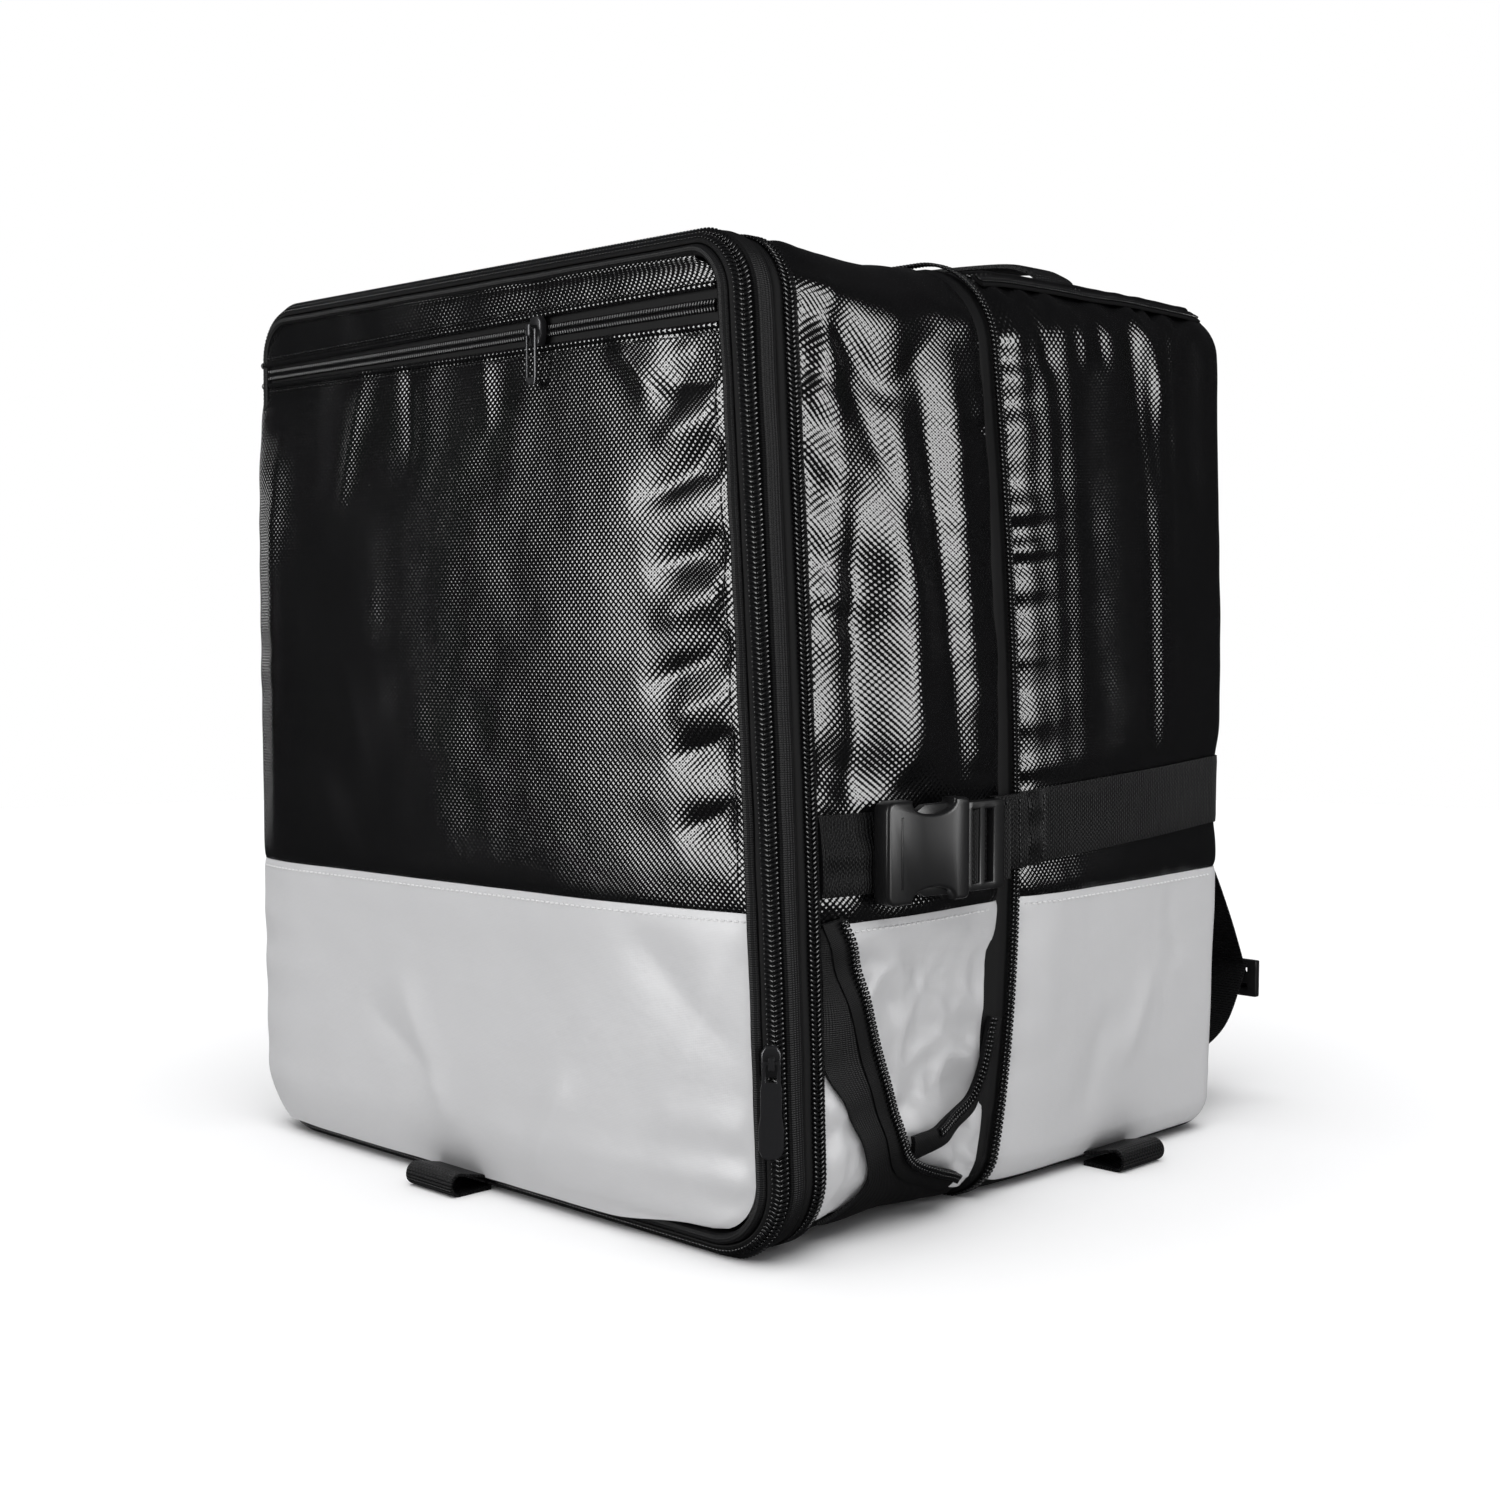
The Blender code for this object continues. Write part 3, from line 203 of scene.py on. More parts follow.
def outline(place, depth):
    """X, Z and the outward direction in XZ of the bag's outline.

    Places 0 to 12 run round the bag from the middle of its base up the right side, over the top and down
    the left. Depth runs back from the front plane, round the rear edge and on across the back.
    """
    place = np.mod(place, 12)
    side = np.where(place <= 6, 1.0, -1.0)
    run = np.where(place <= 6, place, 12 - place)
    lean, bulge, top, top_radius, low_radius = section_at(depth)
    half = WIDTH / 2
    stretch = np.minimum(np.floor(run), 5).astype(int)
    share = run - stretch
    turn = share * math.pi / 2
    rise, reach = np.sin(turn), np.cos(turn)
    none, one = np.zeros_like(run), np.ones_like(run)
    high, low = half - top_radius, half - low_radius
    straight = (share * low, low + low_radius * rise, half * one, half * one, high + top_radius * reach)
    x = np.choose(stretch, (*straight, (1 - share) * high))
    side_up = mix(low_radius, SEAM_HEIGHT, share)
    side_on = mix(SEAM_HEIGHT, top - top_radius, share)
    corner_up = top - top_radius * (1 - rise)
    z = np.choose(stretch, (none, low_radius * (1 - reach), side_up, side_on, corner_up, top * one))
    across = np.choose(stretch, (none, rise, one, one, reach, none))
    up = np.choose(stretch, (-one, -reach, none, none, rise, one))
    level = np.clip(z / top, 0.0, 1.0)
    out = SIDE_BULGE * bulge * np.clip(np.sin(math.pi * level), 0, 1) ** 0.8
    out += np.where(side > 0, lean * mix(LEAN_BOTTOM, LEAN_TOP, level), 0.0)
    x = x * (1 + out / half)
    return x * side, z, across * side, up


def bow(depth, height):
    """How far the rear zipper hangs back between the top and the base."""
    hang = np.sin(math.pi * np.clip(height / HEIGHT, 0.0, 1.0) ** 0.65)
    middle = (REAR_ZIPPER_START + REAR_ZIPPER_END) / 2
    front = (depth - GUSSET_START) / (middle - GUSSET_START)
    rear = (BODY_TURN - depth) / (BODY_TURN - middle)
    return RING_BOW * hang * np.clip(np.where(depth > middle, rear, front), 0.0, 1.0)


def folds(first, second, table):
    """Rise of a table of folds. Each row is the two ends of the crest, its half width and its rise."""
    total = np.zeros(np.broadcast(first, second).shape)
    for from_first, from_second, to_first, to_second, width, rise in table:
        along_first, along_second = to_first - from_first, to_second - from_second
        length = math.hypot(along_first, along_second)
        p, q = first - from_first, second - from_second
        run = (p * along_first + q * along_second) / length**2
        off = np.abs(p * along_second - q * along_first) / (length * width)
        fade = smooth((run + 0.20) / 0.45) * smooth((1.20 - run) / 0.45)
        total += rise * fade * np.exp(-(off**1.6))
    return total


def noise_of(values, seed):
    """Noise from -1 to 1 along a run of numbers."""
    fine = np.arange(math.floor(values.min()), math.ceil(values.max()) + 1.05, 0.05)
    found = [noise.noise(Vector((v, seed, 0.37 * seed))) for v in fine]
    return np.interp(values, fine, found)


def rumple(points, size, rise, seed):
    """Soft noise over a grid of points."""
    flat = points.reshape(-1, 3) / size + seed
    found = np.array([noise.noise(Vector(p)) for p in flat])
    return found.reshape(points.shape[:-1]) * rise


def gathers(along, away, spacing, reach, rise, seed):
    """Short puckers that start at a seam: along it, and away from it, in metres."""
    strength = noise_of(along / (1.7 * spacing), seed + 5)
    phase = 2 * math.pi * along / spacing + 5.5 * noise_of(along / (2.5 * spacing), seed)
    lengthened = reach * (1 + 0.8 * strength)
    away = np.maximum(away, 0.0)
    fade = np.exp(-away / lengthened) * (1 - np.exp(-away / 0.002))
    return rise * np.sin(phase) * (0.65 + 0.8 * strength) * fade


# Folds of the side walls in metres: depth and height of both ends, half width, rise
SIDE_FOLDS = (
    (0.050, 0.468, 0.088, 0.424, 0.010, -0.0040),
    (0.088, 0.424, 0.140, 0.470, 0.010, -0.0030),
    (0.058, 0.480, 0.040, 0.400, 0.010, 0.0025),
    (0.092, 0.395, 0.093, 0.235, 0.016, 0.0060),
    (0.066, 0.360, 0.058, 0.205, 0.013, -0.0065),
    (0.064, 0.440, 0.105, 0.340, 0.010, -0.0030),
    (0.112, 0.430, 0.128, 0.250, 0.009, -0.0035),
    (0.132, 0.450, 0.140, 0.240, 0.012, 0.0028),
    (0.090, 0.235, 0.104, 0.215, 0.012, -0.0030),
    (0.205, 0.485, 0.216, 0.445, 0.006, -0.0025),
    (0.243, 0.490, 0.250, 0.452, 0.006, 0.0022),
    (0.262, 0.492, 0.268, 0.455, 0.006, -0.0025),
    (0.306, 0.496, 0.322, 0.430, 0.008, 0.0036),
    (0.296, 0.480, 0.302, 0.400, 0.006, -0.0012),
    (0.302, 0.400, 0.308, 0.230, 0.006, -0.0012),
    (0.312, 0.400, 0.317, 0.235, 0.005, 0.0010),
    (0.344, 0.480, 0.352, 0.380, 0.010, -0.0010),
    (0.240, 0.380, 0.262, 0.250, 0.020, -0.0006),
    (0.330, 0.150, 0.345, 0.110, 0.010, -0.0016),
    (0.290, 0.060, 0.312, 0.105, 0.010, 0.0022),
    (0.255, 0.036, 0.268, 0.090, 0.012, -0.0020),
    (0.200, 0.150, 0.206, 0.080, 0.012, 0.0012),
    (0.106, 0.150, 0.108, 0.060, 0.034, -0.0075),
    (0.098, 0.060, 0.132, 0.030, 0.010, 0.0040),
    (0.080, 0.150, 0.100, 0.100, 0.008, 0.0025),
    (0.128, 0.155, 0.124, 0.110, 0.008, 0.0020),
)

fine_places = np.linspace(0, 12, 3001)
fine_x, fine_z, _, _ = outline(fine_places, np.full(3001, 0.10))
fine_run = np.concatenate(((0.0,), np.cumsum(np.hypot(np.diff(fine_x), np.diff(fine_z)))))


def side_relief(place, depth, crumpled=True):
    """How far the sewn walls of the filled bag stand out from the plain shell."""
    along = np.minimum(depth, BODY_TURN)
    x, z, across, up = outline(place, along)
    run = np.interp(np.mod(place, 12), fine_places, fine_run)
    y = along + bow(along, z) - DEPTH / 2
    plain = np.stack((x, y, z), -1)
    rise = folds(along, z, SIDE_FOLDS) * np.abs(across) ** 1.5
    after_front = along - GUSSET_START
    before_ring = GUSSET_CLOTH_END - along
    after_ring = along - BODY_START + BODY_LAP
    in_gusset = (after_ring < 0).astype(float)
    hang = np.clip(np.minimum(after_front, before_ring), 0.0, 1.0)
    cloth = gathers(run, after_front, 0.030, 0.024, 0.0022, 3.0)
    cloth += gathers(run, before_ring, 0.022, 0.016, 0.0018, 9.0)
    cloth += 0.0040 * (1 - np.exp(-hang / 0.012)) - 0.0022
    cloth += rumple(plain, 0.055, 0.0026, 11.0) + rumple(plain, 0.020, 0.0008, 17.0)
    upper = smooth((z - SEAM_HEIGHT) / 0.02)
    full = gathers(run, after_ring, 0.027, 0.020, 0.0024, 21.0) * (0.25 + 0.75 * upper)
    full += gathers(run, after_ring, 0.015, 0.012, 0.0012, 37.0) * upper
    full += 0.0070 * (1 - np.exp(-np.maximum(after_ring, 0) / 0.012)) - 0.0050
    full += rumple(plain, 0.090, 0.0014, 23.0) + rumple(plain, 0.026, 0.0005, 29.0)
    from_top = np.minimum(np.abs(place - 4.62), np.abs(place - 7.38)) * 0.05
    full += gathers(along, from_top, 0.026, 0.030, 0.0016, 27.0)
    rise = rise + mix(full, cloth, in_gusset)
    if crumpled:
        loose = in_gusset * smooth((0.158 - z) / 0.03) * smooth(hang / 0.016) * np.abs(across)
        rise -= 0.0080 * loose * np.abs(rumple(plain, 0.036, 1.0, 5.0))
        rise -= 0.0030 * loose * np.abs(rumple(plain, 0.015, 1.0, 7.0))
    seam = np.abs(z - SEAM_HEIGHT) * 3 + (1 - np.abs(across)) * 0.1
    rise = rise - 0.0014 * np.exp(-seam / 0.006)
    strap = STRAP_HEIGHT + STRAP_REAR_RISE * np.clip((along - 0.096) / (BODY_TURN - 0.096), 0, 1)
    pressed = np.exp(-(((z - strap) / 0.027) ** 4)) * np.abs(across)
    rise = mix(rise, np.minimum(rise, -0.0006), pressed)
    floor_near = np.clip(-up, 0.0, 1.0)
    return mix(rise, np.minimum(rise, 0.0), floor_near)


def skin(place, depth, out=0.0, relief=side_relief):
    """Points on the bag, out from its surface."""
    place, depth, out = np.broadcast_arrays(*(np.asarray(v, float) for v in (place, depth, out)))
    along = np.minimum(depth, BODY_TURN)
    x, z, across, up = outline(place, along)
    out = out + relief(place, depth)
    turn = np.clip((depth - BODY_TURN) / REAR_RADIUS, 0.0, math.pi / 2)
    rest = np.maximum(depth - BODY_TURN - turn * REAR_RADIUS, 0.0)
    out_here = (REAR_RADIUS + out) * np.cos(turn) - REAR_RADIUS - rest
    y = along + bow(along, z) * np.cos(turn) - DEPTH / 2 + (REAR_RADIUS + out) * np.sin(turn)
    return np.stack((x + across * out_here, y, z + up * out_here), -1)


def lengths(points):
    """Running length along a line of points."""
    steps = np.linalg.norm(np.diff(points, axis=0), axis=1)
    return np.concatenate(((0.0,), np.cumsum(steps)))


def unit(vectors):
    """Vectors scaled to a length of 1."""
    return vectors / np.linalg.norm(vectors, axis=-1, keepdims=True)


def even_places(start, end, depth, step):
    """Places from start to end at even steps along the outline."""
    fine = np.linspace(start, end, 1500)
    x, z, _, _ = outline(fine, np.full(1500, depth))
    run = lengths(np.stack((x, z), -1))
    count = max(int(round(run[-1] / step)), 2)
    return np.interp(np.linspace(0, run[-1], count + 1), run, fine)


def shader_of(name, colour, roughness, specular=0.5, metallic=0.0):
    """A material with its nodes, links and shader."""
    made = bpy.data.materials.new(name)
    made.use_nodes = True
    tree = made.node_tree
    shader = tree.nodes["Principled BSDF"]
    shader.inputs["Base Color"].default_value = (*colour, 1)
    shader.inputs["Roughness"].default_value = roughness
    shader.inputs["Specular IOR Level"].default_value = specular
    shader.inputs["Metallic"].default_value = metallic
    return made, tree, shader


def wave(tree, source, axis, period, shift=0.0):
    """A sine of one coordinate with a period in metres."""
    split = tree.nodes.new("ShaderNodeSeparateXYZ")
    scaled = tree.nodes.new("ShaderNodeMath")
    scaled.operation = "MULTIPLY_ADD"
    scaled.inputs[1].default_value = 2 * math.pi / period
    scaled.inputs[2].default_value = shift
    sine = tree.nodes.new("ShaderNodeMath")
    sine.operation = "SINE"
    tree.links.new(source, split.inputs[0])
    tree.links.new(split.outputs[axis], scaled.inputs[0])
    tree.links.new(scaled.outputs[0], sine.inputs[0])
    return sine.outputs[0]


def joined(tree, operation, first, second):
    """Two values joined by an operation."""
    node = tree.nodes.new("ShaderNodeMath")
    node.operation = operation
    for socket, value in zip(node.inputs, (first, second)):
        if isinstance(value, float):
            socket.default_value = value
        else:
            tree.links.new(value, socket)
    return node.outputs[0]


def speckle(tree, source, size, detail=3.0):
    """Noise with a grain size in metres."""
    grain = tree.nodes.new("ShaderNodeTexNoise")
    grain.inputs["Scale"].default_value = 1 / size
    grain.inputs["Detail"].default_value = detail
    tree.links.new(source, grain.inputs["Vector"])
    return grain.outputs["Fac"]


def bumped(tree, shader, height, depth, strength=1.0, under=None):
    """A bump of height with a depth in metres, over an earlier bump."""
    bump = tree.nodes.new("ShaderNodeBump")
    bump.inputs["Distance"].default_value = depth
    bump.inputs["Strength"].default_value = strength
    tree.links.new(height, bump.inputs["Height"])
    if under:
        tree.links.new(under, bump.inputs["Normal"])
    tree.links.new(bump.outputs["Normal"], shader.inputs["Normal"])
    return bump.outputs["Normal"]


def ranged(tree, value, low, high):
    """Value, 0 to 1, spread from low to high."""
    node = tree.nodes.new("ShaderNodeMapRange")
    node.inputs["To Min"].default_value = low
    node.inputs["To Max"].default_value = high
    tree.links.new(value, node.inputs["Value"])
    return node.outputs["Result"]


def object_map(tree):
    """The object's own coordinates, in metres."""
    return tree.nodes.new("ShaderNodeTexCoord").outputs["Object"]


def own_map(tree):
    """The map laid on each piece in metres, across and along it."""
    node = tree.nodes.new("ShaderNodeUVMap")
    node.uv_map = "weave"
    return node.outputs["UV"]


WEAVE_PITCH = 0.0034
coated, tree, shader = shader_of("coated_black", (0.004, 0.004, 0.0043), 0.24, 0.5)
cloth_map = own_map(tree)
weft, warp = (wave(tree, cloth_map, axis, WEAVE_PITCH) for axis in (0, 1))
diamond = joined(tree, "MULTIPLY", weft, warp)
crinkle = bumped(tree, shader, speckle(tree, object_map(tree), 0.014, 3.0), 0.0006, 0.35)
bumped(tree, shader, diamond, 0.00016, 0.8, crinkle)
tree.links.new(ranged(tree, speckle(tree, object_map(tree), 0.05), 0.12, 0.20), shader.inputs["Roughness"])


def placed_piece(name, made, material, nodes, body="root", sharp=45):
    """An object from a bmesh, with its material, body and the CAD nodes that it stands for."""
    mesh = bpy.data.meshes.new(name)
    made.to_mesh(mesh)
    made.free()
    mesh.shade_smooth()
    mesh.set_sharp_from_angle(angle=math.radians(sharp))
    mesh.materials.append(material)
    piece = bpy.data.objects.new(name, mesh)
    scene.collection.objects.link(piece)
    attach(piece, body)
    if nodes:
        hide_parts(*nodes)
    return piece


def mapped_grid(points):
    """A grid of faces laid on a grid of points, with its map in metres and each vert's number."""
    rows, columns = points.shape[:2]
    across = lengths(points[rows // 2])
    along = lengths(points[:, columns // 2])
    made = bmesh.new()
    bmesh.ops.create_grid(made, x_segments=columns - 1, y_segments=rows - 1, size=1)
    cell = made.verts.layers.int.new("cell")
    weave = made.loops.layers.uv.new("weave")
    flat = points.reshape(-1, 3).tolist()
    for index, vert in enumerate(made.verts):
        vert[cell] = index
        vert.co = flat[index]
    for face in made.faces:
        for corner in face.loops:
            index = corner.vert[cell]
            corner[weave].uv = (across[index % columns], along[index // columns])
    return made, cell


def verts_of(grown):
    """The verts among what an operator made."""
    return [part for part in grown["geom"] if isinstance(part, bmesh.types.BMVert)]


def sheet(name, outer, inner, material, nodes, body="root", sharp=45):
    """A sewn layer between two grids of points."""
    made, cell = mapped_grid(outer)
    flat = inner.reshape(-1, 3).tolist()
    grown = bmesh.ops.extrude_face_region(made, geom=made.faces[:])
    for vert in verts_of(grown):
        vert.co = flat[vert[cell]]
    bmesh.ops.recalc_face_normals(made, faces=made.faces)
    return placed_piece(name, made, material, nodes, body, sharp)


def grid_normals(points, outward):
    """Unit normals of a grid of points, on the outward side."""
    normal = np.cross(np.gradient(points, axis=1), np.gradient(points, axis=0))
    normal /= np.maximum(np.linalg.norm(normal, axis=-1, keepdims=True), 1e-12)
    middle = normal[points.shape[0] // 2, points.shape[1] // 2]
    return normal if np.dot(middle, outward) > 0 else -normal


def panel(name, points, wall, outward, material, slot, nodes):
    """A layer of cloth whose outer face is the grid of points."""
    inner = points - grid_normals(points, outward) * wall
    return sheet(name, points, inner, material, nodes)


def wall_panel(name, places, depths, wall, material, slot, nodes):
    """A wall of the bag between places and depths."""
    place, depth = np.meshgrid(places, depths)
    points = skin(place, depth)
    middle = points[len(depths) // 2, len(places) // 2]
    outward = (middle[0], 0, middle[2] - HEIGHT / 2)
    return panel(name, points, wall, outward, material, slot, nodes)


SEAM_GAP = 0.0003
upper_gap = SEAM_GAP / (HEIGHT - SEAM_HEIGHT)
CLOTH_THICKNESS = 0.0012
WALL_THICKNESS = 0.006
gusset_depths = np.linspace(GUSSET_START - 0.0010, GUSSET_CLOTH_END, 53)
flat_depths = np.linspace(BODY_CLOTH_START, BODY_TURN, 75)
body_depths = np.concatenate((flat_depths[:-1], np.linspace(BODY_TURN, BODY_END, 10)))
gusset_places = even_places(3 + upper_gap, 9 - upper_gap, 0.10, 0.0026)
body_places = even_places(3 + upper_gap, 9 - upper_gap, 0.30, 0.0030)
black = (coated, "coated_black")
made = wall_panel("gusset_upper_cloth", gusset_places, gusset_depths, CLOTH_THICKNESS, *black, ["gusset_upper"])
made = wall_panel("body_upper_wall", body_places, body_depths, WALL_THICKNESS, *black, ["body_upper"])

# Silver fabric round the lower part
# A light satin cloth, hemmed along the top and sewn down with pale thread, below the black fabric.

silver, tree, shader = shader_of("silver_fabric", (0.60, 0.60, 0.605), 0.46, 0.20, 0.03)
cloth_map = own_map(tree)
twill = joined(tree, "ADD", wave(tree, cloth_map, 0, 0.0011), wave(tree, cloth_map, 1, 0.0008))
crinkle = bumped(tree, shader, speckle(tree, object_map(tree), 0.016, 4.0), 0.0010, 0.45)
bumped(tree, shader, twill, 0.00001, 0.5, crinkle)

low_gap = SEAM_GAP / SEAM_HEIGHT
for side, word in ((1, "right"), (-1, "left")):
    gusset_layer = ("gusset", gusset_depths, CLOTH_THICKNESS)
    body_layer = ("body", body_depths, WALL_THICKNESS)
    for part, depths, wall in (gusset_layer, body_layer):
        places = even_places(1.5 + low_gap, 3 - low_gap, 0.10, 0.0022)
        if side < 0:
            places = 12 - places[::-1]
        node = f"{part}_lower_{word}"
        made = wall_panel(f"{node}_cloth", places, depths, wall, silver, "silver_fabric", [node])

# Base of the bag
# Black coated fabric under the bag, turned up at both sides to the silver fabric.

base_cloth, tree, shader = shader_of("base_cloth", (0.007, 0.007, 0.0075), 0.55, 0.2)
bumped(tree, shader, speckle(tree, object_map(tree), 0.0012, 2.0), 0.0003, 0.5)
base_places = even_places(-1.5, 1.5, 0.10, 0.004)
base = (base_cloth, "binding_black")
made = wall_panel("gusset_base_cloth", base_places, gusset_depths[::3], CLOTH_THICKNESS, *base, ["gusset_base"])
base_depths = np.concatenate((body_depths[:-10:3], body_depths[-10:]))
made = wall_panel("body_base_wall", base_places, base_depths, WALL_THICKNESS, *base, ["body_base"])

# Door
# A padded flap on the front, silver below the seam and coated black above, held by the zipper round
# its edge, which draws it into short folds.

DOOR_INSET = 0.0141
DOOR_LEFT = 0.0020
DOOR_BOTTOM = 0.0075
DOOR_TOP = 0.0115
DOOR_SEAM_RISE = 0.006
DOOR_THICKNESS = 0.005
POCKET_ZIPPER_HEIGHT = 0.454
POCKET_STRIP_LEFT = 0.011
POCKET_STRIP_RIGHT = 0.018


def edge_at(side, height, depth, inset):
    """X of the outline at a height, drawn in by inset."""
    lean, bulge, top_at, top_radius, low_radius = section_at(np.full(height.shape, depth))
    half = WIDTH / 2 - inset
    top = top_at - inset
    high = np.maximum(top_radius - inset, 1e-4)
    low = np.maximum(low_radius - inset, 1e-4)
    over = np.clip(height - top + high, 0, high)
    under = np.clip(inset + low - height, 0, low)
    x = half - high + np.sqrt(high**2 - over**2)
    x = np.where(under > 0, half - low + np.sqrt(np.maximum(low**2 - under**2, 0)), x)
    level = np.clip(height / top_at, 0, 1)
    out = SIDE_BULGE * bulge * np.sin(math.pi * level) ** 0.8
    if side > 0:
        out = out + lean * mix(LEAN_BOTTOM, LEAN_TOP, level)
    return side * (x + (x / half) * out)


def pocket_high(across):
    """Height of the pocket zipper's upper edge."""
    return POCKET_ZIPPER_HEIGHT + mix(POCKET_STRIP_LEFT, POCKET_STRIP_RIGHT, (across + 1) / 2)


def door_seam(across):
    """Height of the hem across the door."""
    return SEAM_HEIGHT + DOOR_SEAM_RISE * (1 + across / 2)


# Folds of the door in metres: X and height of both ends, half width, rise
DOOR_FOLDS = (
    (0.200, 0.440, 0.145, 0.425, 0.010, -0.0042),
    (0.198, 0.396, 0.140, 0.372, 0.009, -0.0038),
    (0.200, 0.353, 0.148, 0.338, 0.010, -0.0036),
    (0.201, 0.302, 0.146, 0.282, 0.009, -0.0040),
    (0.203, 0.259, 0.160, 0.246, 0.008, -0.0034),
    (0.204, 0.226, 0.165, 0.210, 0.008, -0.0034),
    (0.198, 0.417, 0.150, 0.400, 0.009, 0.0026),
    (0.200, 0.330, 0.150, 0.312, 0.010, 0.0026),
    (0.202, 0.280, 0.160, 0.266, 0.008, 0.0022),
    (-0.105, 0.452, -0.118, 0.375, 0.007, 0.0012),
    (-0.062, 0.452, -0.052, 0.400, 0.006, -0.0010),
    (0.006, 0.452, 0.016, 0.415, 0.007, 0.0010),
    (0.112, 0.452, 0.150, 0.420, 0.008, 0.0026),
    (0.150, 0.452, 0.185, 0.445, 0.006, -0.0022),
    (-0.186, 0.400, -0.190, 0.200, 0.010, 0.0020),
    (-0.060, 0.110, -0.020, 0.040, 0.012, 0.0022),
    (-0.090, 0.090, -0.030, 0.060, 0.010, -0.0016),
    (0.055, 0.020, 0.085, 0.075, 0.010, 0.0022),
    (0.130, 0.155, 0.200, 0.100, 0.014, -0.0022),
    (0.190, 0.150, 0.150, 0.050, 0.014, 0.0020),
)


def door_points(x, height):
    """Points of the door's face."""
    left = x - edge_at(-1, height, 0.0, DOOR_LEFT)
    right = edge_at(1, height, 0.0, DOOR_INSET) - x
    high = HEIGHT - DOOR_TOP - height
    low = height - DOOR_BOTTOM
    rise = 0.0125 * (1 - np.clip(1 - right / 0.125, 0, 1) ** 2)
    rise = rise * (1 - 0.62 * np.clip(1 - left / 0.050, 0, 1) ** 2)
    rise = rise * (1 - 0.55 * np.clip(1 - high / 0.050, 0, 1) ** 2)
    rise = rise * (1 - 0.60 * np.clip(1 - low / 0.035, 0, 1) ** 2)
    rise = rise + 0.0016 * np.exp(-low / 0.012)
    held = 0.0021 + 0.11 * np.maximum(0.450 - height, 0.0)
    rise = held - np.logaddexp(0, (held - rise) / 0.0012) * 0.0012
    edge = smooth(np.minimum(left, right) / 0.010)
    flat = np.stack((x, np.zeros_like(x), height), -1)
    rise += folds(x, height, DOOR_FOLDS) * edge
    rise += gathers(height, right, 0.037, 0.030, 0.0014, 31.0) * edge
    rise += gathers(height, left, 0.033, 0.020, 0.0012, 37.0) * edge
    rise += gathers(x, np.maximum(POCKET_ZIPPER_HEIGHT - height, 0), 0.040, 0.028, 0.0005, 41.0)
    rise += (rumple(flat, 0.080, 0.0009, 43.0) + rumple(flat, 0.028, 0.0004, 47.0)) * edge
    across = x / (WIDTH / 2)
    rise -= 0.0012 * np.exp(-np.abs(height - door_seam(across)) / 0.003)
    rise = np.maximum(rise, -0.0005)
    turned = 0.0050 * np.clip(1 - left / 0.006, 0, 1) ** 2.2
    return np.stack((x, -DEPTH / 2 + 0.0006 - rise + turned, height), -1)


def door_grid(low, high, columns, rows):
    """A grid of the door between two edges, given as heights for a place across."""
    across, share = np.meshgrid(np.linspace(-1, 1, columns), np.linspace(0, 1, rows))
    height = mix(low(across), high(across), share)
    x = mix(edge_at(-1, height, 0.0, DOOR_LEFT), edge_at(1, height, 0.0, DOOR_INSET), (across + 1) / 2)
    return x, height


def door_low(across):
    """Height of the door's lower edge."""
    return mix(DOOR_BOTTOM, DOOR_INSET, smooth((across - 0.60) / 0.35))


def door_high(across):
    """Height of the door's upper edge."""
    return np.full(across.shape, HEIGHT - DOOR_TOP)


def pocket_low(across):
    """Height of the pocket zipper's lower edge."""
    return np.full(across.shape, POCKET_ZIPPER_HEIGHT)


outwards = (0, -1, 0)
lower = door_points(*door_grid(door_low, lambda a: door_seam(a) - SEAM_GAP, 190, 80))
upper = door_points(*door_grid(door_seam, pocket_low, 190, 145))
band = door_points(*door_grid(pocket_high, door_high, 190, 12))
for name, points, material, slot, node in (
    ("door_lower_cloth", lower, silver, "silver_fabric", "door_lower"),
    ("door_upper_cloth", upper, coated, "coated_black", "door_upper"),
    ("door_band_cloth", band, coated, "coated_black", "door_top_band"),
):
    made = panel(name, points, DOOR_THICKNESS, outwards, material, slot, [node])

# Bindings and zipper tapes round the bag
# Each is a woven tape sewn round the whole outline: a piped binding and a zipper at the door's edge, a
# binding over the frame, and the two zippers that hold the gusset.

binding, tree, shader = shader_of("binding_black", (0.008, 0.008, 0.0085), 0.50, 0.14)
tape_map = own_map(tree)
grosgrain = joined(tree, "ADD", wave(tree, tape_map, 1, 0.0011), wave(tree, tape_map, 0, 0.0018))
bumped(tree, shader, grosgrain, 0.00010, 0.8)

tape, tree, shader = shader_of("zipper_tape", (0.006, 0.006, 0.0065), 0.62, 0.12)
tape_map = own_map(tree)
knit = joined(tree, "MULTIPLY", wave(tree, tape_map, 1, 0.0012), wave(tree, tape_map, 0, 0.0012))
bumped(tree, shader, knit, 0.00012, 0.8)


def rounded(corners, times):
    """A closed line with its corners cut off, more finely each time. The last point repeats the first."""
    line = np.array(corners, float)
    for _ in range(times):
        after = np.roll(line, -1, axis=0)
        line = np.stack((0.75 * line + 0.25 * after, 0.25 * line + 0.75 * after), 1).reshape(-1, 2)
    return np.concatenate((line, line[:1]))


def closed_grid(name, points, material, nodes, body="root", sharp=50):
    """A tube laid on a grid of points whose columns close, with its open ends filled."""
    made, _ = mapped_grid(points)
    bmesh.ops.remove_doubles(made, verts=made.verts, dist=1e-6)
    open_edges = [edge for edge in made.edges if edge.is_boundary]
    if open_edges:
        bmesh.ops.holes_fill(made, edges=open_edges)
    bmesh.ops.recalc_face_normals(made, faces=made.faces)
    return placed_piece(name, made, material, nodes, body, sharp)


hoop_places = even_places(0, 12, 0.0, 0.0045)
hoop_places[-1] = 12
hoop_run = np.linspace(0, 1.7, len(hoop_places))


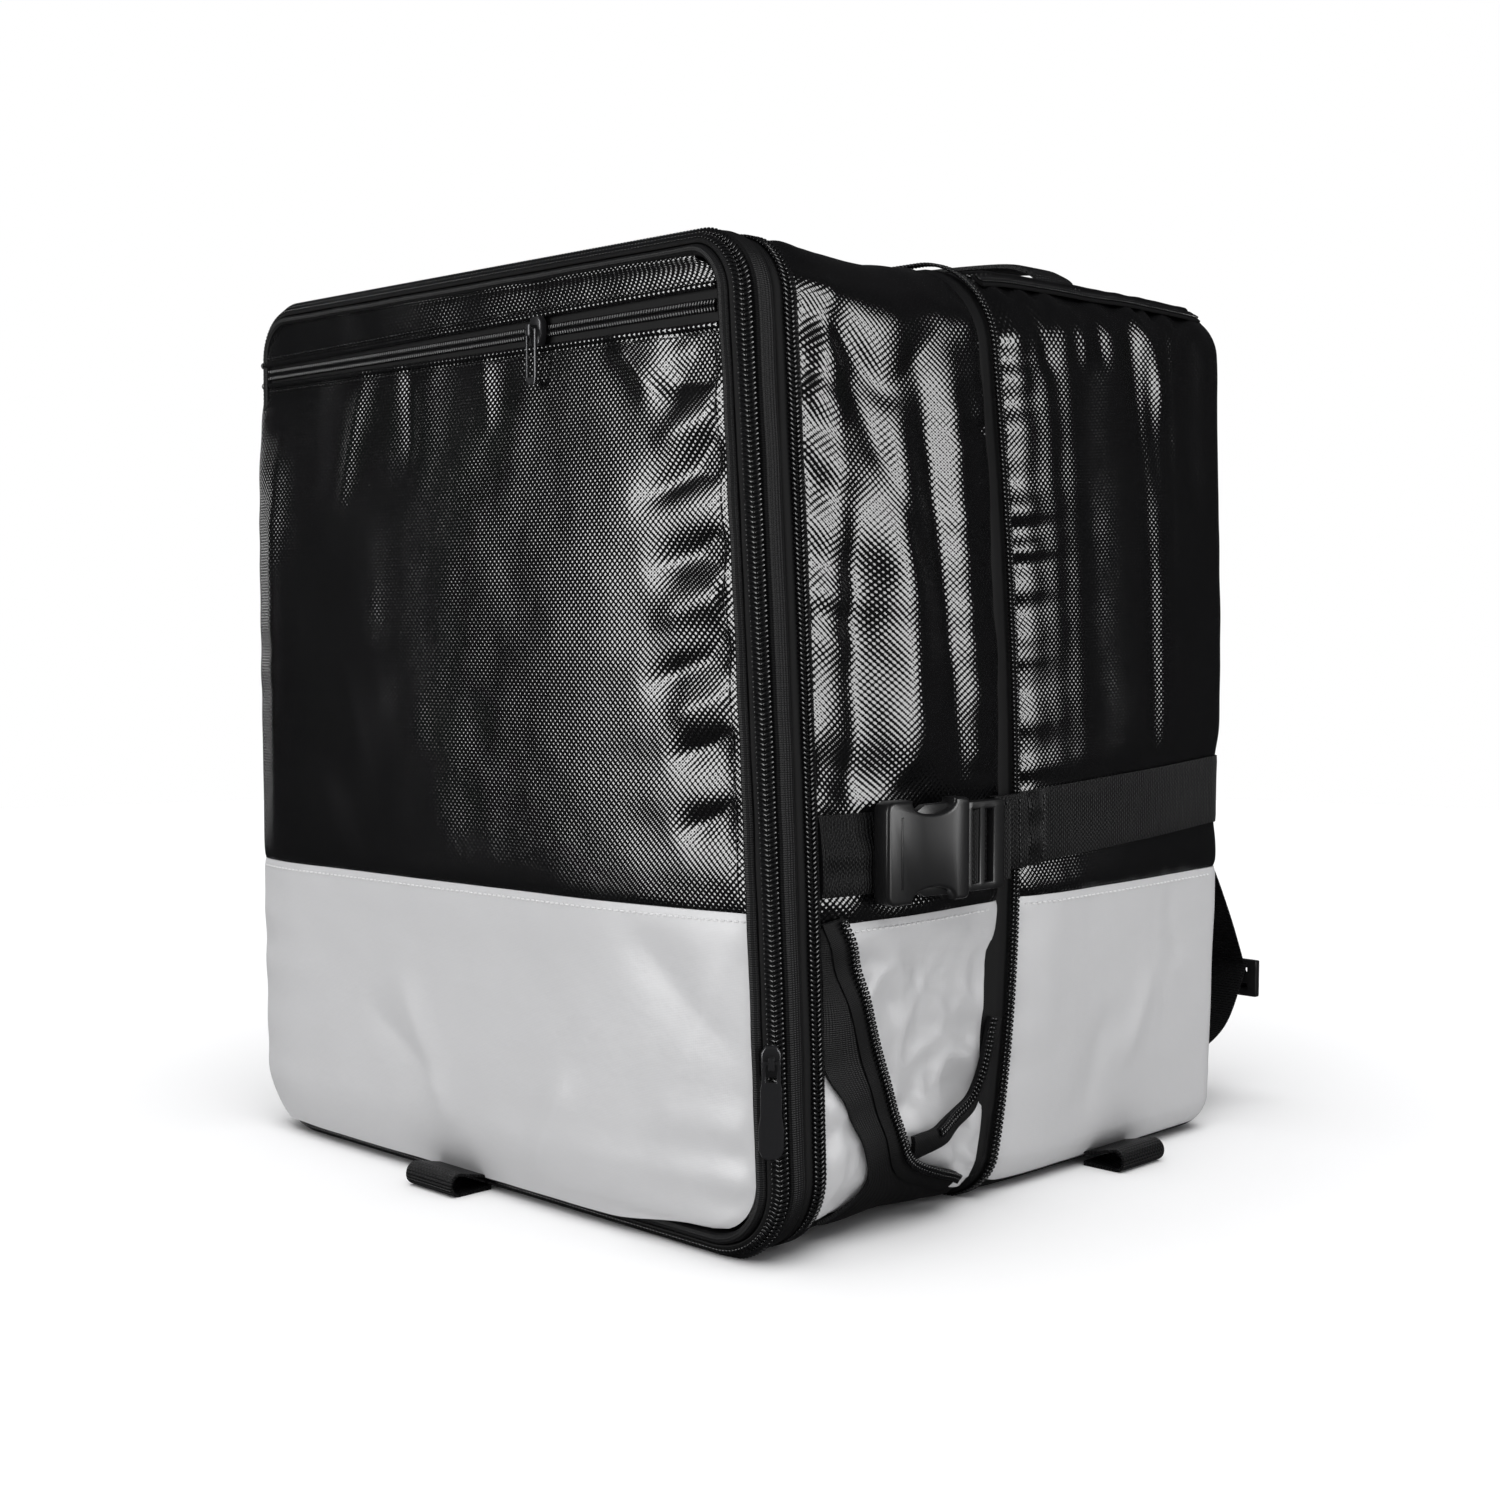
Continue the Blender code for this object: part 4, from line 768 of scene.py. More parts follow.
def hoop(place, depth, out):
    """Points of the stiff hoops, which have no folds and stay off the floor."""
    place, depth, out = np.broadcast_arrays(*(np.asarray(v, float) for v in (place, depth, out)))
    along = np.clip(depth, 0.0, DEPTH)
    x, z, across, up = outline(place, along)
    lift = np.clip(-up, 0.0, 1.0) * np.maximum(out, 0.0)
    return np.stack((x + across * out, depth + bow(along, z) - DEPTH / 2, z + up * out + lift), -1)


def ring(name, profile, material, nodes, uneven=0.0003, times=2):
    """A hoop round the bag with a profile of (depth, out) corners, a little uneven along its length."""
    line = rounded(profile, times)
    place, column = np.meshgrid(hoop_places, np.arange(len(line)), indexing="ij")
    ends = np.minimum(hoop_run, 1.7 - hoop_run)
    sway = uneven * noise_of(hoop_run / 0.028, len(name)) * smooth(ends / 0.02)
    points = hoop(place, line[column, 0] + sway[:, None], line[column, 1] + sway[:, None])
    points[-1] = points[0]
    return closed_grid(name, points, material, nodes)


for name, material, slot, node, times, profile in (
    (
        "door_piping", binding, "binding_black", "door_binding", 2,
        ((-0.0030, -0.0122), (-0.0034, -0.0078), (0.0010, -0.0066), (0.0080, -0.0066), (0.0080, -0.0128)),
    ),
    (
        "door_zipper_tape", tape, "zipper_black", "door_zipper", 1,
        ((0.0002, -0.0064), (-0.0004, -0.0050), (0.0030, -0.0014), (0.0094, -0.0004), (0.0094, -0.0064)),
    ),
    (
        "frame_binding_tape", binding, "binding_black", "frame_binding", 2,
        ((0.0098, -0.0065), (0.0098, 0.0004), (0.0125, 0.0020), (0.0195, 0.0020), (0.0217, 0.0004),
         (0.0217, -0.0065)),
    ),
    (
        "front_expansion_tape", tape, "zipper_black", "front_expansion_zipper", 1,
        ((0.0222, -0.0065), (0.0222, -0.0012), (0.0250, 0.0000), (0.0370, 0.0002), (0.0384, -0.0010),
         (0.0384, -0.0065)),
    ),
    (
        "rear_expansion_tape", tape, "zipper_black", "rear_expansion_zipper", 1,
        ((0.1536, -0.0065), (0.1536, -0.0030), (0.1620, -0.0030), (0.1636, 0.0000), (0.1748, -0.0004),
         (0.1776, -0.0065)),
    ),
):
    ring(name, profile, material, [node], times=times)

# Coils of the zippers round the bag
# Nylon coils whose two sides mesh in a herringbone, sewn along the middle of each tape.

coil, tree, shader = shader_of("coil_plastic", (0.006, 0.006, 0.0065), 0.24, 0.35)
bumped(tree, shader, speckle(tree, object_map(tree), 0.0008, 2.0), 0.0001, 0.4)

TOOTH_PITCH = 0.0024


def rounded_edges(made, edges, offset, segments, clamped=False):
    """Bevels some edges of a bmesh."""
    bmesh.ops.bevel(
        made,
        geom=edges,
        offset=offset,
        segments=segments,
        profile=0.5,
        affect="EDGES",
        material=-1,
        clamp_overlap=clamped,
    )


def herringbone(slant=28, length=0.0046, across=0.0022, rise=0.0):
    """Two teeth of a coil, one on each side: X across the tape, Y along it, Z outwards."""
    made = bmesh.new()
    for side in (-1, 1):
        tooth = bmesh.ops.create_cube(made, size=1.0)["verts"]
        bmesh.ops.scale(made, vec=(length, 0.0017, 0.0018), verts=tooth)
        turn = Matrix.Rotation(math.radians(slant * side), 3, "Z")
        bmesh.ops.rotate(made, matrix=turn, verts=tooth)
        bmesh.ops.translate(made, vec=(side * across, 0, rise), verts=tooth)
    rounded_edges(made, made.edges[:], 0.0004, 1)
    return made


def stitch(length=0.0030, width=0.0009):
    """One lock stitch, lying along Y."""
    made = bmesh.new()
    bmesh.ops.create_cube(made, size=1.0)
    bmesh.ops.scale(made, vec=(width, length, 0.0009), verts=made.verts)
    rounded_edges(made, made.edges[:], 0.0003, 1)
    return made


def frames_along(centres, outs):
    """Unit directions along a line of points, sideways and outwards."""
    tangents = unit(np.gradient(centres, axis=0))
    sideways = unit(np.cross(tangents, outs))
    return tangents, sideways, np.cross(sideways, tangents)


def along_line(name, repeat, pitch, centres, outs, material, slot, body="root"):
    """Copies of a small shape, side by side along a line of points that has an outward direction."""
    run = lengths(centres)
    total = run[-1]
    count = int(total / pitch)
    pitch = total / count
    made_so_far = 1
    while made_so_far < count:
        grown = bmesh.ops.duplicate(repeat, geom=repeat.verts[:] + repeat.edges[:] + repeat.faces[:])
        bmesh.ops.translate(repeat, verts=verts_of(grown), vec=(0, made_so_far * pitch, 0))
        made_so_far *= 2
    spare = [vert for vert in repeat.verts if vert.co.y > total - pitch / 2]
    loose = {face for vert in spare for face in vert.link_faces}
    gone = {vert for face in loose for vert in face.verts} | set(spare)
    bmesh.ops.delete(repeat, geom=list(gone), context="VERTS")
    _, sideways, outward = frames_along(centres, outs)
    at = np.array([vert.co for vert in repeat.verts])
    along = np.clip(at[:, 1] + pitch / 2, 0, total)
    tables = (centres, sideways, outward)
    middle, across, up = (
        np.stack([np.interp(along, run, table[:, k]) for k in range(3)], 1) for table in tables
    )
    laid = (middle + across * at[:, :1] + up * at[:, 2:]).tolist()
    for vert, where in zip(repeat.verts, laid):
        vert.co = where
    bmesh.ops.recalc_face_normals(repeat, faces=repeat.faces)
    return placed_piece(name, repeat, material, [], body, 60)


def hoop_line(depth, out, tilt, start=0.0, end=12.0):
    """Points round the bag with their outward direction, tilted forwards by an angle in degrees."""
    places = even_places(start, end, depth, 0.003)
    centres = hoop(places, np.full(places.shape, depth), np.full(places.shape, out))
    _, _, across, up = outline(places, np.full(places.shape, depth))
    turn = math.radians(tilt)
    forwards = np.full(places.shape, -math.sin(turn))
    outs = np.stack((across * math.cos(turn), forwards, up * math.cos(turn)), -1)
    return centres, outs


for name, teeth, depth, out, tilt in (
    ("door_coil", herringbone(), 0.0040, -0.0012, 38),
    ("front_expansion_coil", herringbone(), 0.0312, 0.0010, 0),
    ("rear_expansion_coil", herringbone(24, 0.0032, 0.0015), 0.1676, 0.0026, 0),
):
    along_line(name, teeth, TOOTH_PITCH, *hoop_line(depth, out, tilt), coil, "zipper_black")

# Pocket zipper across the door
# A narrow coil zipper set between two rolled edges of the coated fabric, each edge stitched down.

thread_black, tree, shader = shader_of("thread_black", (0.010, 0.010, 0.011), 0.35, 0.35)


def tube(name, centres, outs, width, height, material, slot, nodes, body="root"):
    """A round-edged cord along a line of points, width across and height outwards."""
    _, sideways, outward = frames_along(centres, outs)
    turn = np.linspace(0, 2 * math.pi, 13)
    spread = np.stack((np.cos(turn) * width / 2, np.sin(turn) * height / 2), -1)
    spread[-1] = spread[0]
    points = centres[:, None] + sideways[:, None] * spread[None, :, :1]
    points = points + outward[:, None] * spread[None, :, 1:]
    return closed_grid(name, points, material, nodes, body)


def door_line(height_of, out, start=-0.992, end=0.998, count=150):
    """A line across the door at a height given for each place across, out from its face."""
    across = np.linspace(start, end, count)
    height = height_of(across)
    x = mix(edge_at(-1, height, 0.0, DOOR_LEFT), edge_at(1, height, 0.0, DOOR_INSET), (across + 1) / 2)
    centres = door_points(x, height) - np.array((0, out, 0))
    return centres, np.tile((0.0, -1.0, 0.0), (count, 1))


def pocket_middle(across):
    """Height of the pocket zipper's coil."""
    return (pocket_low(across) + pocket_high(across)) / 2


strip = door_points(*door_grid(pocket_low, pocket_high, 150, 10)) + np.array((0, 0.0014, 0))
panel("pocket_zipper_tape", strip, 0.004, outwards, tape, "zipper_black", ["pocket_zipper"])
pocket_coil = herringbone(24, 0.0034, 0.0016)
along_line("pocket_coil", pocket_coil, 0.0019, *door_line(pocket_middle, -0.0008), coil, "zipper_black")
for name, edge, away in (("lower", pocket_low, -1), ("upper", pocket_high, 1)):
    rolled = door_line(lambda a, e=edge, s=away: e(a) + s * 0.0006, 0.0004)
    tube(f"pocket_welt_{name}", *rolled, 0.0036, 0.0030, coated, "coated_black", [])
    sewn = door_line(lambda a, e=edge, s=away: e(a) + s * 0.0042, 0.0002)
    along_line(f"pocket_stitches_{name}", stitch(0.0028, 0.0008), 0.0040, *sewn, thread_black, "coated_black")

# Stitching
# Pale thread holds the hem of the silver fabric, and black thread runs down the door beside its zipper.

thread_pale, tree, shader = shader_of("thread_pale", (0.80, 0.80, 0.80), 0.55, 0.3)
hem = door_line(lambda a: door_seam(a) - 0.0042, 0.0002)
along_line("door_hem_stitches", stitch(0.0026, 0.0009), 0.0040, *hem, thread_pale, "silver_fabric")


def calm_relief(place, depth):
    """The walls' relief without the crumpling, for what is laid over them."""
    return side_relief(place, depth, False)


def place_at(height, depth):
    """The place on the right side at a height."""
    _, _, top, top_radius, low_radius = section_at(np.minimum(depth, BODY_TURN))
    corner = top - top_radius
    low = 1 + np.arccos(np.clip(1 - height / low_radius, -1, 1)) / (math.pi / 2)
    middle = 2 + (height - low_radius) / (SEAM_HEIGHT - low_radius)
    upper = 3 + (height - SEAM_HEIGHT) / (corner - SEAM_HEIGHT)
    round_top = 4 + np.arcsin(np.clip((height - corner) / top_radius, 0, 1)) / (math.pi / 2)
    reached = (height < low_radius, height < SEAM_HEIGHT, height < corner)
    return np.select(reached, (low, middle, upper), round_top)


def side_point(side, depth, height, out=0.0):
    """Points above the right or the left wall."""
    depth, height = np.broadcast_arrays(np.asarray(depth, float), np.asarray(height, float))
    place = place_at(height, depth)
    return skin(place if side > 0 else 12 - place, depth, out, calm_relief)


def side_line(side, depths, heights, out):
    """A line on a side wall with its outward direction."""
    centres = side_point(side, depths, heights, out)
    above = side_point(side, depths, heights, out + 0.004)
    return centres, unit(above - centres)


for side, word in ((1, "right"), (-1, "left")):
    for part, start, end in (("gusset", 0.042, 0.151), ("body", 0.181, 0.380)):
        depths = np.linspace(start, end, 60)
        sewn = side_line(side, depths, np.full(60, SEAM_HEIGHT - 0.0042), 0.0002)
        name = f"{part}_hem_stitches_{word}"
        along_line(name, stitch(0.0026, 0.0009), 0.0040, *sewn, thread_pale, "silver_fabric")

height = np.linspace(0.180, 0.452, 90)
x = edge_at(1, height, 0.0, DOOR_INSET + 0.0040)
centres = door_points(x, height) - np.array((0, 0.0002, 0))
outs = np.tile((0.0, -1.0, 0.0), (90, 1))
edge_stitch = stitch(0.0028, 0.0009)
along_line("door_edge_stitches", edge_stitch, 0.0042, centres, outs, thread_black, "coated_black")

# Zipper of the lid
# A coil zipper runs back along both top edges of the body and across its rear edge, under a piped rim.

LID_CORNER = 4.62
TAPE_WIDTH = 0.011
lid_depths = np.linspace(BODY_START + 0.001, BODY_TURN - 0.006, 60)
over = np.linspace(LID_CORNER + 0.06, 12 - LID_CORNER - 0.06, 120)
lid_place = np.concatenate((np.full(60, LID_CORNER), over, np.full(60, 12 - LID_CORNER)))
lid_depth = np.concatenate((lid_depths, np.full(120, BODY_TURN + 0.006), lid_depths[::-1]))
lid_base = skin(lid_place, lid_depth)
lid_outs = unit(skin(lid_place, lid_depth, 0.01) - lid_base)


def softened(line):
    """A line of points averaged over nine neighbours."""
    spread = np.pad(line, ((4, 4), (0, 0)), "edge")
    return np.stack([np.convolve(spread[:, k], np.ones(9) / 9, "valid") for k in range(3)], 1)


lid_line = softened(lid_base)


def flat_band(name, centres, outs, width, thickness, material, slot, nodes, body="root", columns=7):
    """A flat tape whose middle follows a line, its face to the outward direction."""
    _, sideways, outward = frames_along(centres, outs)
    across = np.linspace(-0.5, 0.5, columns) * width
    thick = thickness / 2 * (1 - 0.5 * np.abs(2 * across / width) ** 8)
    middle = centres[:, None] + sideways[:, None] * across[None, :, None]
    offset = outward[:, None] * thick[None, :, None]
    return sheet(name, middle + offset, middle - offset, material, nodes, body)


tape_line = lid_line + lid_outs * 0.0012
flat_band("top_zipper_tape", tape_line, lid_outs, TAPE_WIDTH, 0.0016, tape, "zipper_black", ["top_zipper"])
lid_coil = herringbone(24, 0.0034, 0.0016)
along_line("top_coil", lid_coil, 0.0019, lid_line + lid_outs * 0.0024, lid_outs, coil, "zipper_black")
rim_line = skin(np.where(lid_place < 6, lid_place + 0.16, lid_place - 0.16), lid_depth, 0.0016)
rim_line[60:180] = skin(over, np.full(120, BODY_TURN - 0.004), 0.0016)
tube("lid_piping", softened(rim_line), lid_outs, 0.0056, 0.0048, coated, "coated_black", [])

# Compression straps
# Doubled black webbing, ribbed across, runs round each side from the frame to the back and closes with
# a side-release buckle. The loose end is folded back behind the buckle and sewn.

FRONT_STRAP_LENGTH = 0.026
SOCKET_LENGTH = 0.0575
PLUG_LENGTH = 0.0265
WEBBING_WIDTH = 0.040
WEBBING_THICKNESS = 0.0016
STRAP_ON_BACK = 0.030
DOUBLED_LENGTH = 0.042

webbing, tree, shader = shader_of("webbing_black", (0.007, 0.007, 0.0075), 0.45, 0.20)
yarn_map = own_map(tree)
rib = wave(tree, yarn_map, 1, 0.0019)
yarn = joined(tree, "MULTIPLY", wave(tree, yarn_map, 0, 0.0026), wave(tree, yarn_map, 1, 0.0030))
fuzz = bumped(tree, shader, speckle(tree, object_map(tree), 0.0008, 2.0), 0.0002, 0.5)
bumped(tree, shader, joined(tree, "ADD", rib, joined(tree, "MULTIPLY", yarn, 0.5)), 0.00034, 1.0, fuzz)


def strap_middle(depth):
    """Height of the strap's middle at a depth."""
    middle = (GUSSET_START + GUSSET_END) / 2
    share = (depth - middle) / (BODY_TURN - middle)
    return STRAP_HEIGHT + STRAP_REAR_RISE * np.clip(share, 0.0, 1.0)


def ring_lift(depth):
    """How far a strap is lifted where it crosses the rear zipper's coil."""
    rise = smooth((depth - GUSSET_END + 0.004) / 0.014)
    fall = smooth((BODY_START + 0.014 - depth) / 0.012)
    return 0.0044 * rise * fall


def strap_strip(name, side, depths, thickness, nodes, under=0.0003, half=WEBBING_WIDTH / 2):
    """A length of webbing on a side wall, rows back along its depths."""
    depth, share = np.meshgrid(depths, np.linspace(-1, 1, 11), indexing="ij")
    height = strap_middle(depth) + half * share
    lift = under + ring_lift(depth)
    thick = thickness * (1 - 0.45 * np.abs(share) ** 8)
    outer = side_point(side, depth, height, lift + thick)
    inner = side_point(side, depth, height, lift)
    return sheet(name, outer, inner, webbing, nodes)


socket_start = GUSSET_START + 0.001 + FRONT_STRAP_LENGTH
plug_start = socket_start + SOCKET_LENGTH
rear_start = plug_start + PLUG_LENGTH
round_edge = np.linspace(BODY_TURN, BODY_END, 12)[1:]
on_back = np.linspace(BODY_END, BODY_END + STRAP_ON_BACK, 10)[1:]
rear_depths = np.concatenate((np.linspace(rear_start, BODY_TURN, 90), round_edge, on_back))
fold_depths = np.linspace(rear_start, rear_start + DOUBLED_LENGTH, 30)
front_depths = np.linspace(GUSSET_START - 0.0005, socket_start + 0.006, 20)
for side, word in ((1, "right"), (-1, "left")):
    strap_strip(f"front_strap_webbing_{word}", side, front_depths, 0.0036, [f"front_strap_{word}"])
    strap_strip(f"rear_strap_webbing_{word}", side, rear_depths, 0.0016, [f"rear_strap_{word}"])
    strap_strip(f"strap_fold_webbing_{word}", side, fold_depths, 0.0034, [f"strap_fold_{word}"], 0.0021)
    for number, at in enumerate((rear_start + 0.006, rear_start + 0.014, rear_start + 0.036)):
        heights = np.linspace(strap_middle(at) - 0.018, strap_middle(at) + 0.018, 30)
        lift = ring_lift(at) + 0.0058
        sewn = side_line(side, np.full(30, at), heights, lift)
        name = f"strap_stitches_{word}_{number + 1}"
        along_line(name, stitch(0.0026, 0.0008), 0.0036, *sewn, thread_black, "webbing_black")

# Side-release buckles
# Moulded in black plastic. The socket is scooped along both edges, where the plug's prongs show, and the
# plug has a slotted end that the webbing passes through.

SOCKET_WIDTH = 0.052
SOCKET_THICKNESS = 0.0115
PLUG_WIDTH = 0.046
BUCKLE_STAND_OFF = 0.0035
BUCKLE_TILT = math.radians(6)

plastic, tree, shader = shader_of("buckle_plastic", (0.010, 0.010, 0.0105), 0.32, 0.28)
bumped(tree, shader, speckle(tree, object_map(tree), 0.0007, 2.0), 0.00006, 0.4)


def plate(corners, thickness, bevel, segments=3):
    """A plate in XY with an outline of corners, from z 0 to thickness, its long edges rounded."""
    made = bmesh.new()
    face = made.faces.new([made.verts.new((x, y, 0)) for x, y in corners])
    grown = bmesh.ops.extrude_face_region(made, geom=[face])
    bmesh.ops.translate(made, verts=verts_of(grown), vec=(0, 0, thickness))
    rim = [edge for edge in made.edges if abs(edge.verts[0].co.z - edge.verts[1].co.z) < 1e-7]
    rounded_edges(made, rim, bevel, segments, True)
    bmesh.ops.recalc_face_normals(made, faces=made.faces)
    return made


def cut_grid(columns, rows, hole, thickness, bevel=0.0):
    """A plate in XY with a hole. rows are (y, share of the columns), from z 0 to thickness."""
    made = bmesh.new()
    bmesh.ops.create_grid(made, x_segments=len(columns) - 1, y_segments=len(rows) - 1, size=1)
    cells = {}
    for index, vert in enumerate(made.verts):
        column, row = index % len(columns), index // len(columns)
        cells[vert] = (column, row)
        vert.co = (columns[column] * rows[row][1], rows[row][0], 0)
    gone = []
    for face in made.faces:
        corner = (min(cells[v][0] for v in face.verts), min(cells[v][1] for v in face.verts))
        if corner in hole:
            gone.append(face)
    bmesh.ops.delete(made, geom=gone, context="FACES")
    grown = bmesh.ops.extrude_face_region(made, geom=made.faces[:])
    bmesh.ops.translate(made, verts=verts_of(grown), vec=(0, 0, thickness))
    bmesh.ops.recalc_face_normals(made, faces=made.faces)
    if bevel:
        rim = [edge for edge in made.edges if edge.calc_face_angle(0) > 0.6]
        rounded_edges(made, rim, bevel, 2)
    return made


def add_to(whole, piece):
    """Adds one bmesh to another."""
    held = bpy.data.meshes.new("held")
    piece.to_mesh(held)
    piece.free()
    whole.from_mesh(held)
    bpy.data.meshes.remove(held)
    return whole


def scooped(length, half, corner, centre, reach, deep):
    """An outline scooped into both long edges."""
    edge = [(0.0, half - corner), (corner * 0.3, half - corner * 0.3), (corner, half)]
    for k in range(17):
        turn = math.pi * k / 16
        drop = deep * math.sin(turn) ** 0.8
        edge.append((centre - reach * math.cos(turn), half - drop))
    edge += [(length - 0.003, half), (length - 0.0006, half - 0.001), (length, half - 0.003)]
    return [(x, -y) for x, y in edge] + [(x, y) for x, y in reversed(edge)]


def buckle_frame(side, start):
    """Places a buckle piece drawn in XY: X back along the strap, Y up, Z outwards."""
    foot = Vector(side_point(side, start, strap_middle(start)).tolist())
    axes = Matrix(((0, 0, side), (1, 0, 0), (0, 1, 0))).to_4x4()
    return Matrix.Translation(foot) @ axes @ Matrix.Rotation(-BUCKLE_TILT, 4, "Y")


for side, word in ((1, "right"), (-1, "left")):
    seat = buckle_frame(side, socket_start)
    half = SOCKET_WIDTH / 2
    centre, reach = 0.56 * SOCKET_LENGTH, 0.26 * SOCKET_LENGTH
    edge_line = scooped(SOCKET_LENGTH, half, 0.0045, centre, reach, 0.0075)
    socket = plate(edge_line, SOCKET_THICKNESS, 0.0022)
    bar_corners = [(0.009, -0.018), (0.0104, -0.018), (0.0104, 0.018), (0.009, 0.018)]
    band_line = plate(bar_corners, 0.0007, 0.0003, 2)
    bmesh.ops.translate(band_line, verts=band_line.verts, vec=(0, 0, SOCKET_THICKNESS - 0.0003))
    add_to(socket, band_line)
    raised = seat @ Matrix.Translation((0, 0, BUCKLE_STAND_OFF))
    bmesh.ops.transform(socket, matrix=raised, verts=socket.verts)
    node = f"buckle_socket_{word}"
    placed_piece(f"buckle_socket_shell_{word}", socket, plastic, [node], sharp=35)
    prongs = bmesh.new()
    for up in (-1, 1):
        tip_corners = [
            (centre - 0.011, up * 0.0165),
            (centre + 0.0125, up * 0.0165),
            (centre + 0.0125, up * 0.0235),
            (centre - 0.004, up * 0.0232),
            (centre - 0.009, up * 0.0205),
        ]
        tip = plate(tip_corners, 0.0048, 0.0010, 2)
        bmesh.ops.translate(tip, verts=tip.verts, vec=(0, 0, 0.0034 + BUCKLE_STAND_OFF))
        add_to(prongs, tip)
    bmesh.ops.transform(prongs, matrix=seat, verts=prongs.verts)
    placed_piece(f"buckle_prongs_{word}", prongs, plastic, [], sharp=35)
    wide = PLUG_WIDTH / 2
    columns = [0.0, 0.0035, 0.0085, 0.0125, 0.0185, PLUG_LENGTH]
    rows = [(-wide, 1.0), (-wide + 0.004, 1.0), (wide - 0.004, 1.0), (wide, 1.0)]
    plug = cut_grid(columns, rows, {(1, 1), (3, 1)}, 0.0072, 0.0008)
    behind = Matrix.Translation((SOCKET_LENGTH + 0.0003, 0, BUCKLE_STAND_OFF + 0.0022))
    bmesh.ops.transform(plug, matrix=seat @ behind, verts=plug.verts)
    node = f"buckle_plug_{word}"
    placed_piece(f"buckle_plug_frame_{word}", plug, plastic, [node], sharp=35)
    passed = bmesh.new()
    bmesh.ops.create_grid(passed, x_segments=24, y_segments=10, size=0.5)
    weave = passed.loops.layers.uv.new("weave")
    for vert in passed.verts:
        along = vert.co.x + 0.5
        dip = 0.0022 * math.sin(2 * math.pi * (along * 1.35 + 0.08))
        vert.co = (mix(0.0008, PLUG_LENGTH + 0.006, along), vert.co.y * 0.0375, 0.0034 + dip)
    for face in passed.faces:
        for corner in face.loops:
            corner[weave].uv = (corner.vert.co.y, corner.vert.co.x)
    grown = bmesh.ops.extrude_face_region(passed, geom=passed.faces[:])
    bmesh.ops.translate(passed, verts=verts_of(grown), vec=(0, 0, 0.0015))
    bmesh.ops.recalc_face_normals(passed, faces=passed.faces)
    bmesh.ops.transform(passed, matrix=seat @ behind, verts=passed.verts)
    placed_piece(f"buckle_webbing_{word}", passed, webbing, [])

# Loose ends of the expansion zippers
# Where the gusset opens at the bottom, the two tapes of its zipper peel away from the hoops and curve
# together into a V, beside a wide black facing that covers the frame.

# Routes of depth and height as shares of DEPTH and HEIGHT
FRONT_TAPE_ROUTE = (
    (0.110, 0.330),
    (0.132, 0.260),
    (0.161, 0.190),
    (0.196, 0.118),
    (0.234, 0.070),
    (0.345, 0.034),
)
REAR_TAPE_ROUTE = (
    (0.400, 0.200),
    (0.386, 0.155),
    (0.360, 0.118),
    (0.320, 0.104),
    (0.278, 0.094),
    (0.240, 0.086),
)
# Rows of height, then the depths of the front and rear edge, in the same shares
FACING_ROWS = (
    (0.324, 0.094, 0.111),
    (0.300, 0.094, 0.119),
    (0.272, 0.094, 0.128),
    (0.240, 0.094, 0.139),
    (0.192, 0.098, 0.160),
    (0.140, 0.130, 0.186),
    (0.092, 0.158, 0.216),
    (0.060, 0.172, 0.260),
    (0.036, 0.150, 0.330),
    (0.020, 0.125, 0.350),
)


def curve_through(points, steps):
    """Points of a smooth curve through the given ones."""
    points = np.array(points, float)
    ends = np.concatenate(([2 * points[0] - points[1]], points, [2 * points[-1] - points[-2]]))
    share = np.arange(steps)[:, None] / steps
    found = []
    for a, b, c, d in zip(ends, ends[1:], ends[2:], ends[3:]):
        squared = 2 * a - 5 * b + 4 * c - d
        cubed = 3 * b - a - 3 * c + d
        found.append(0.5 * (2 * b + (c - a) * share + squared * share**2 + cubed * share**3))
    return np.concatenate((*found, points[-1:]))


def route_normals(route):
    """Unit directions across a route of (depth, height)."""
    run = unit(np.gradient(route, axis=0))
    return np.stack((-run[:, 1], run[:, 0]), 1)


def loose_tape(name, side, route, width, out, teeth_at, teeth_out, teeth_end):
    """A tape on a side wall along a route of (depth, height) in metres, with a row of teeth."""
    normal = route_normals(route)
    across = np.linspace(-0.5, 0.5, 7)
    width = np.broadcast_to(width, (len(route),))
    at = route[:, None] + normal[:, None] * across[None, :, None] * width[:, None, None]
    thick = TAPE_THICKNESS * (1 - 0.4 * np.abs(2 * across) ** 8)[None, :]
    outer = side_point(side, at[..., 0], at[..., 1], out + thick)
    inner = side_point(side, at[..., 0], at[..., 1], out * 0.5)
    sheet(f"{name}_cloth", outer, inner, tape, [name])
    teeth = (route + normal * teeth_at)[:teeth_end]
    teeth_line = side_line(side, teeth[:, 0], teeth[:, 1], teeth_out)
    small_teeth = herringbone(10, 0.0030, 0.0012)
    along_line(f"{name}_coil", small_teeth, TOOTH_PITCH, *teeth_line, coil, "zipper_black")


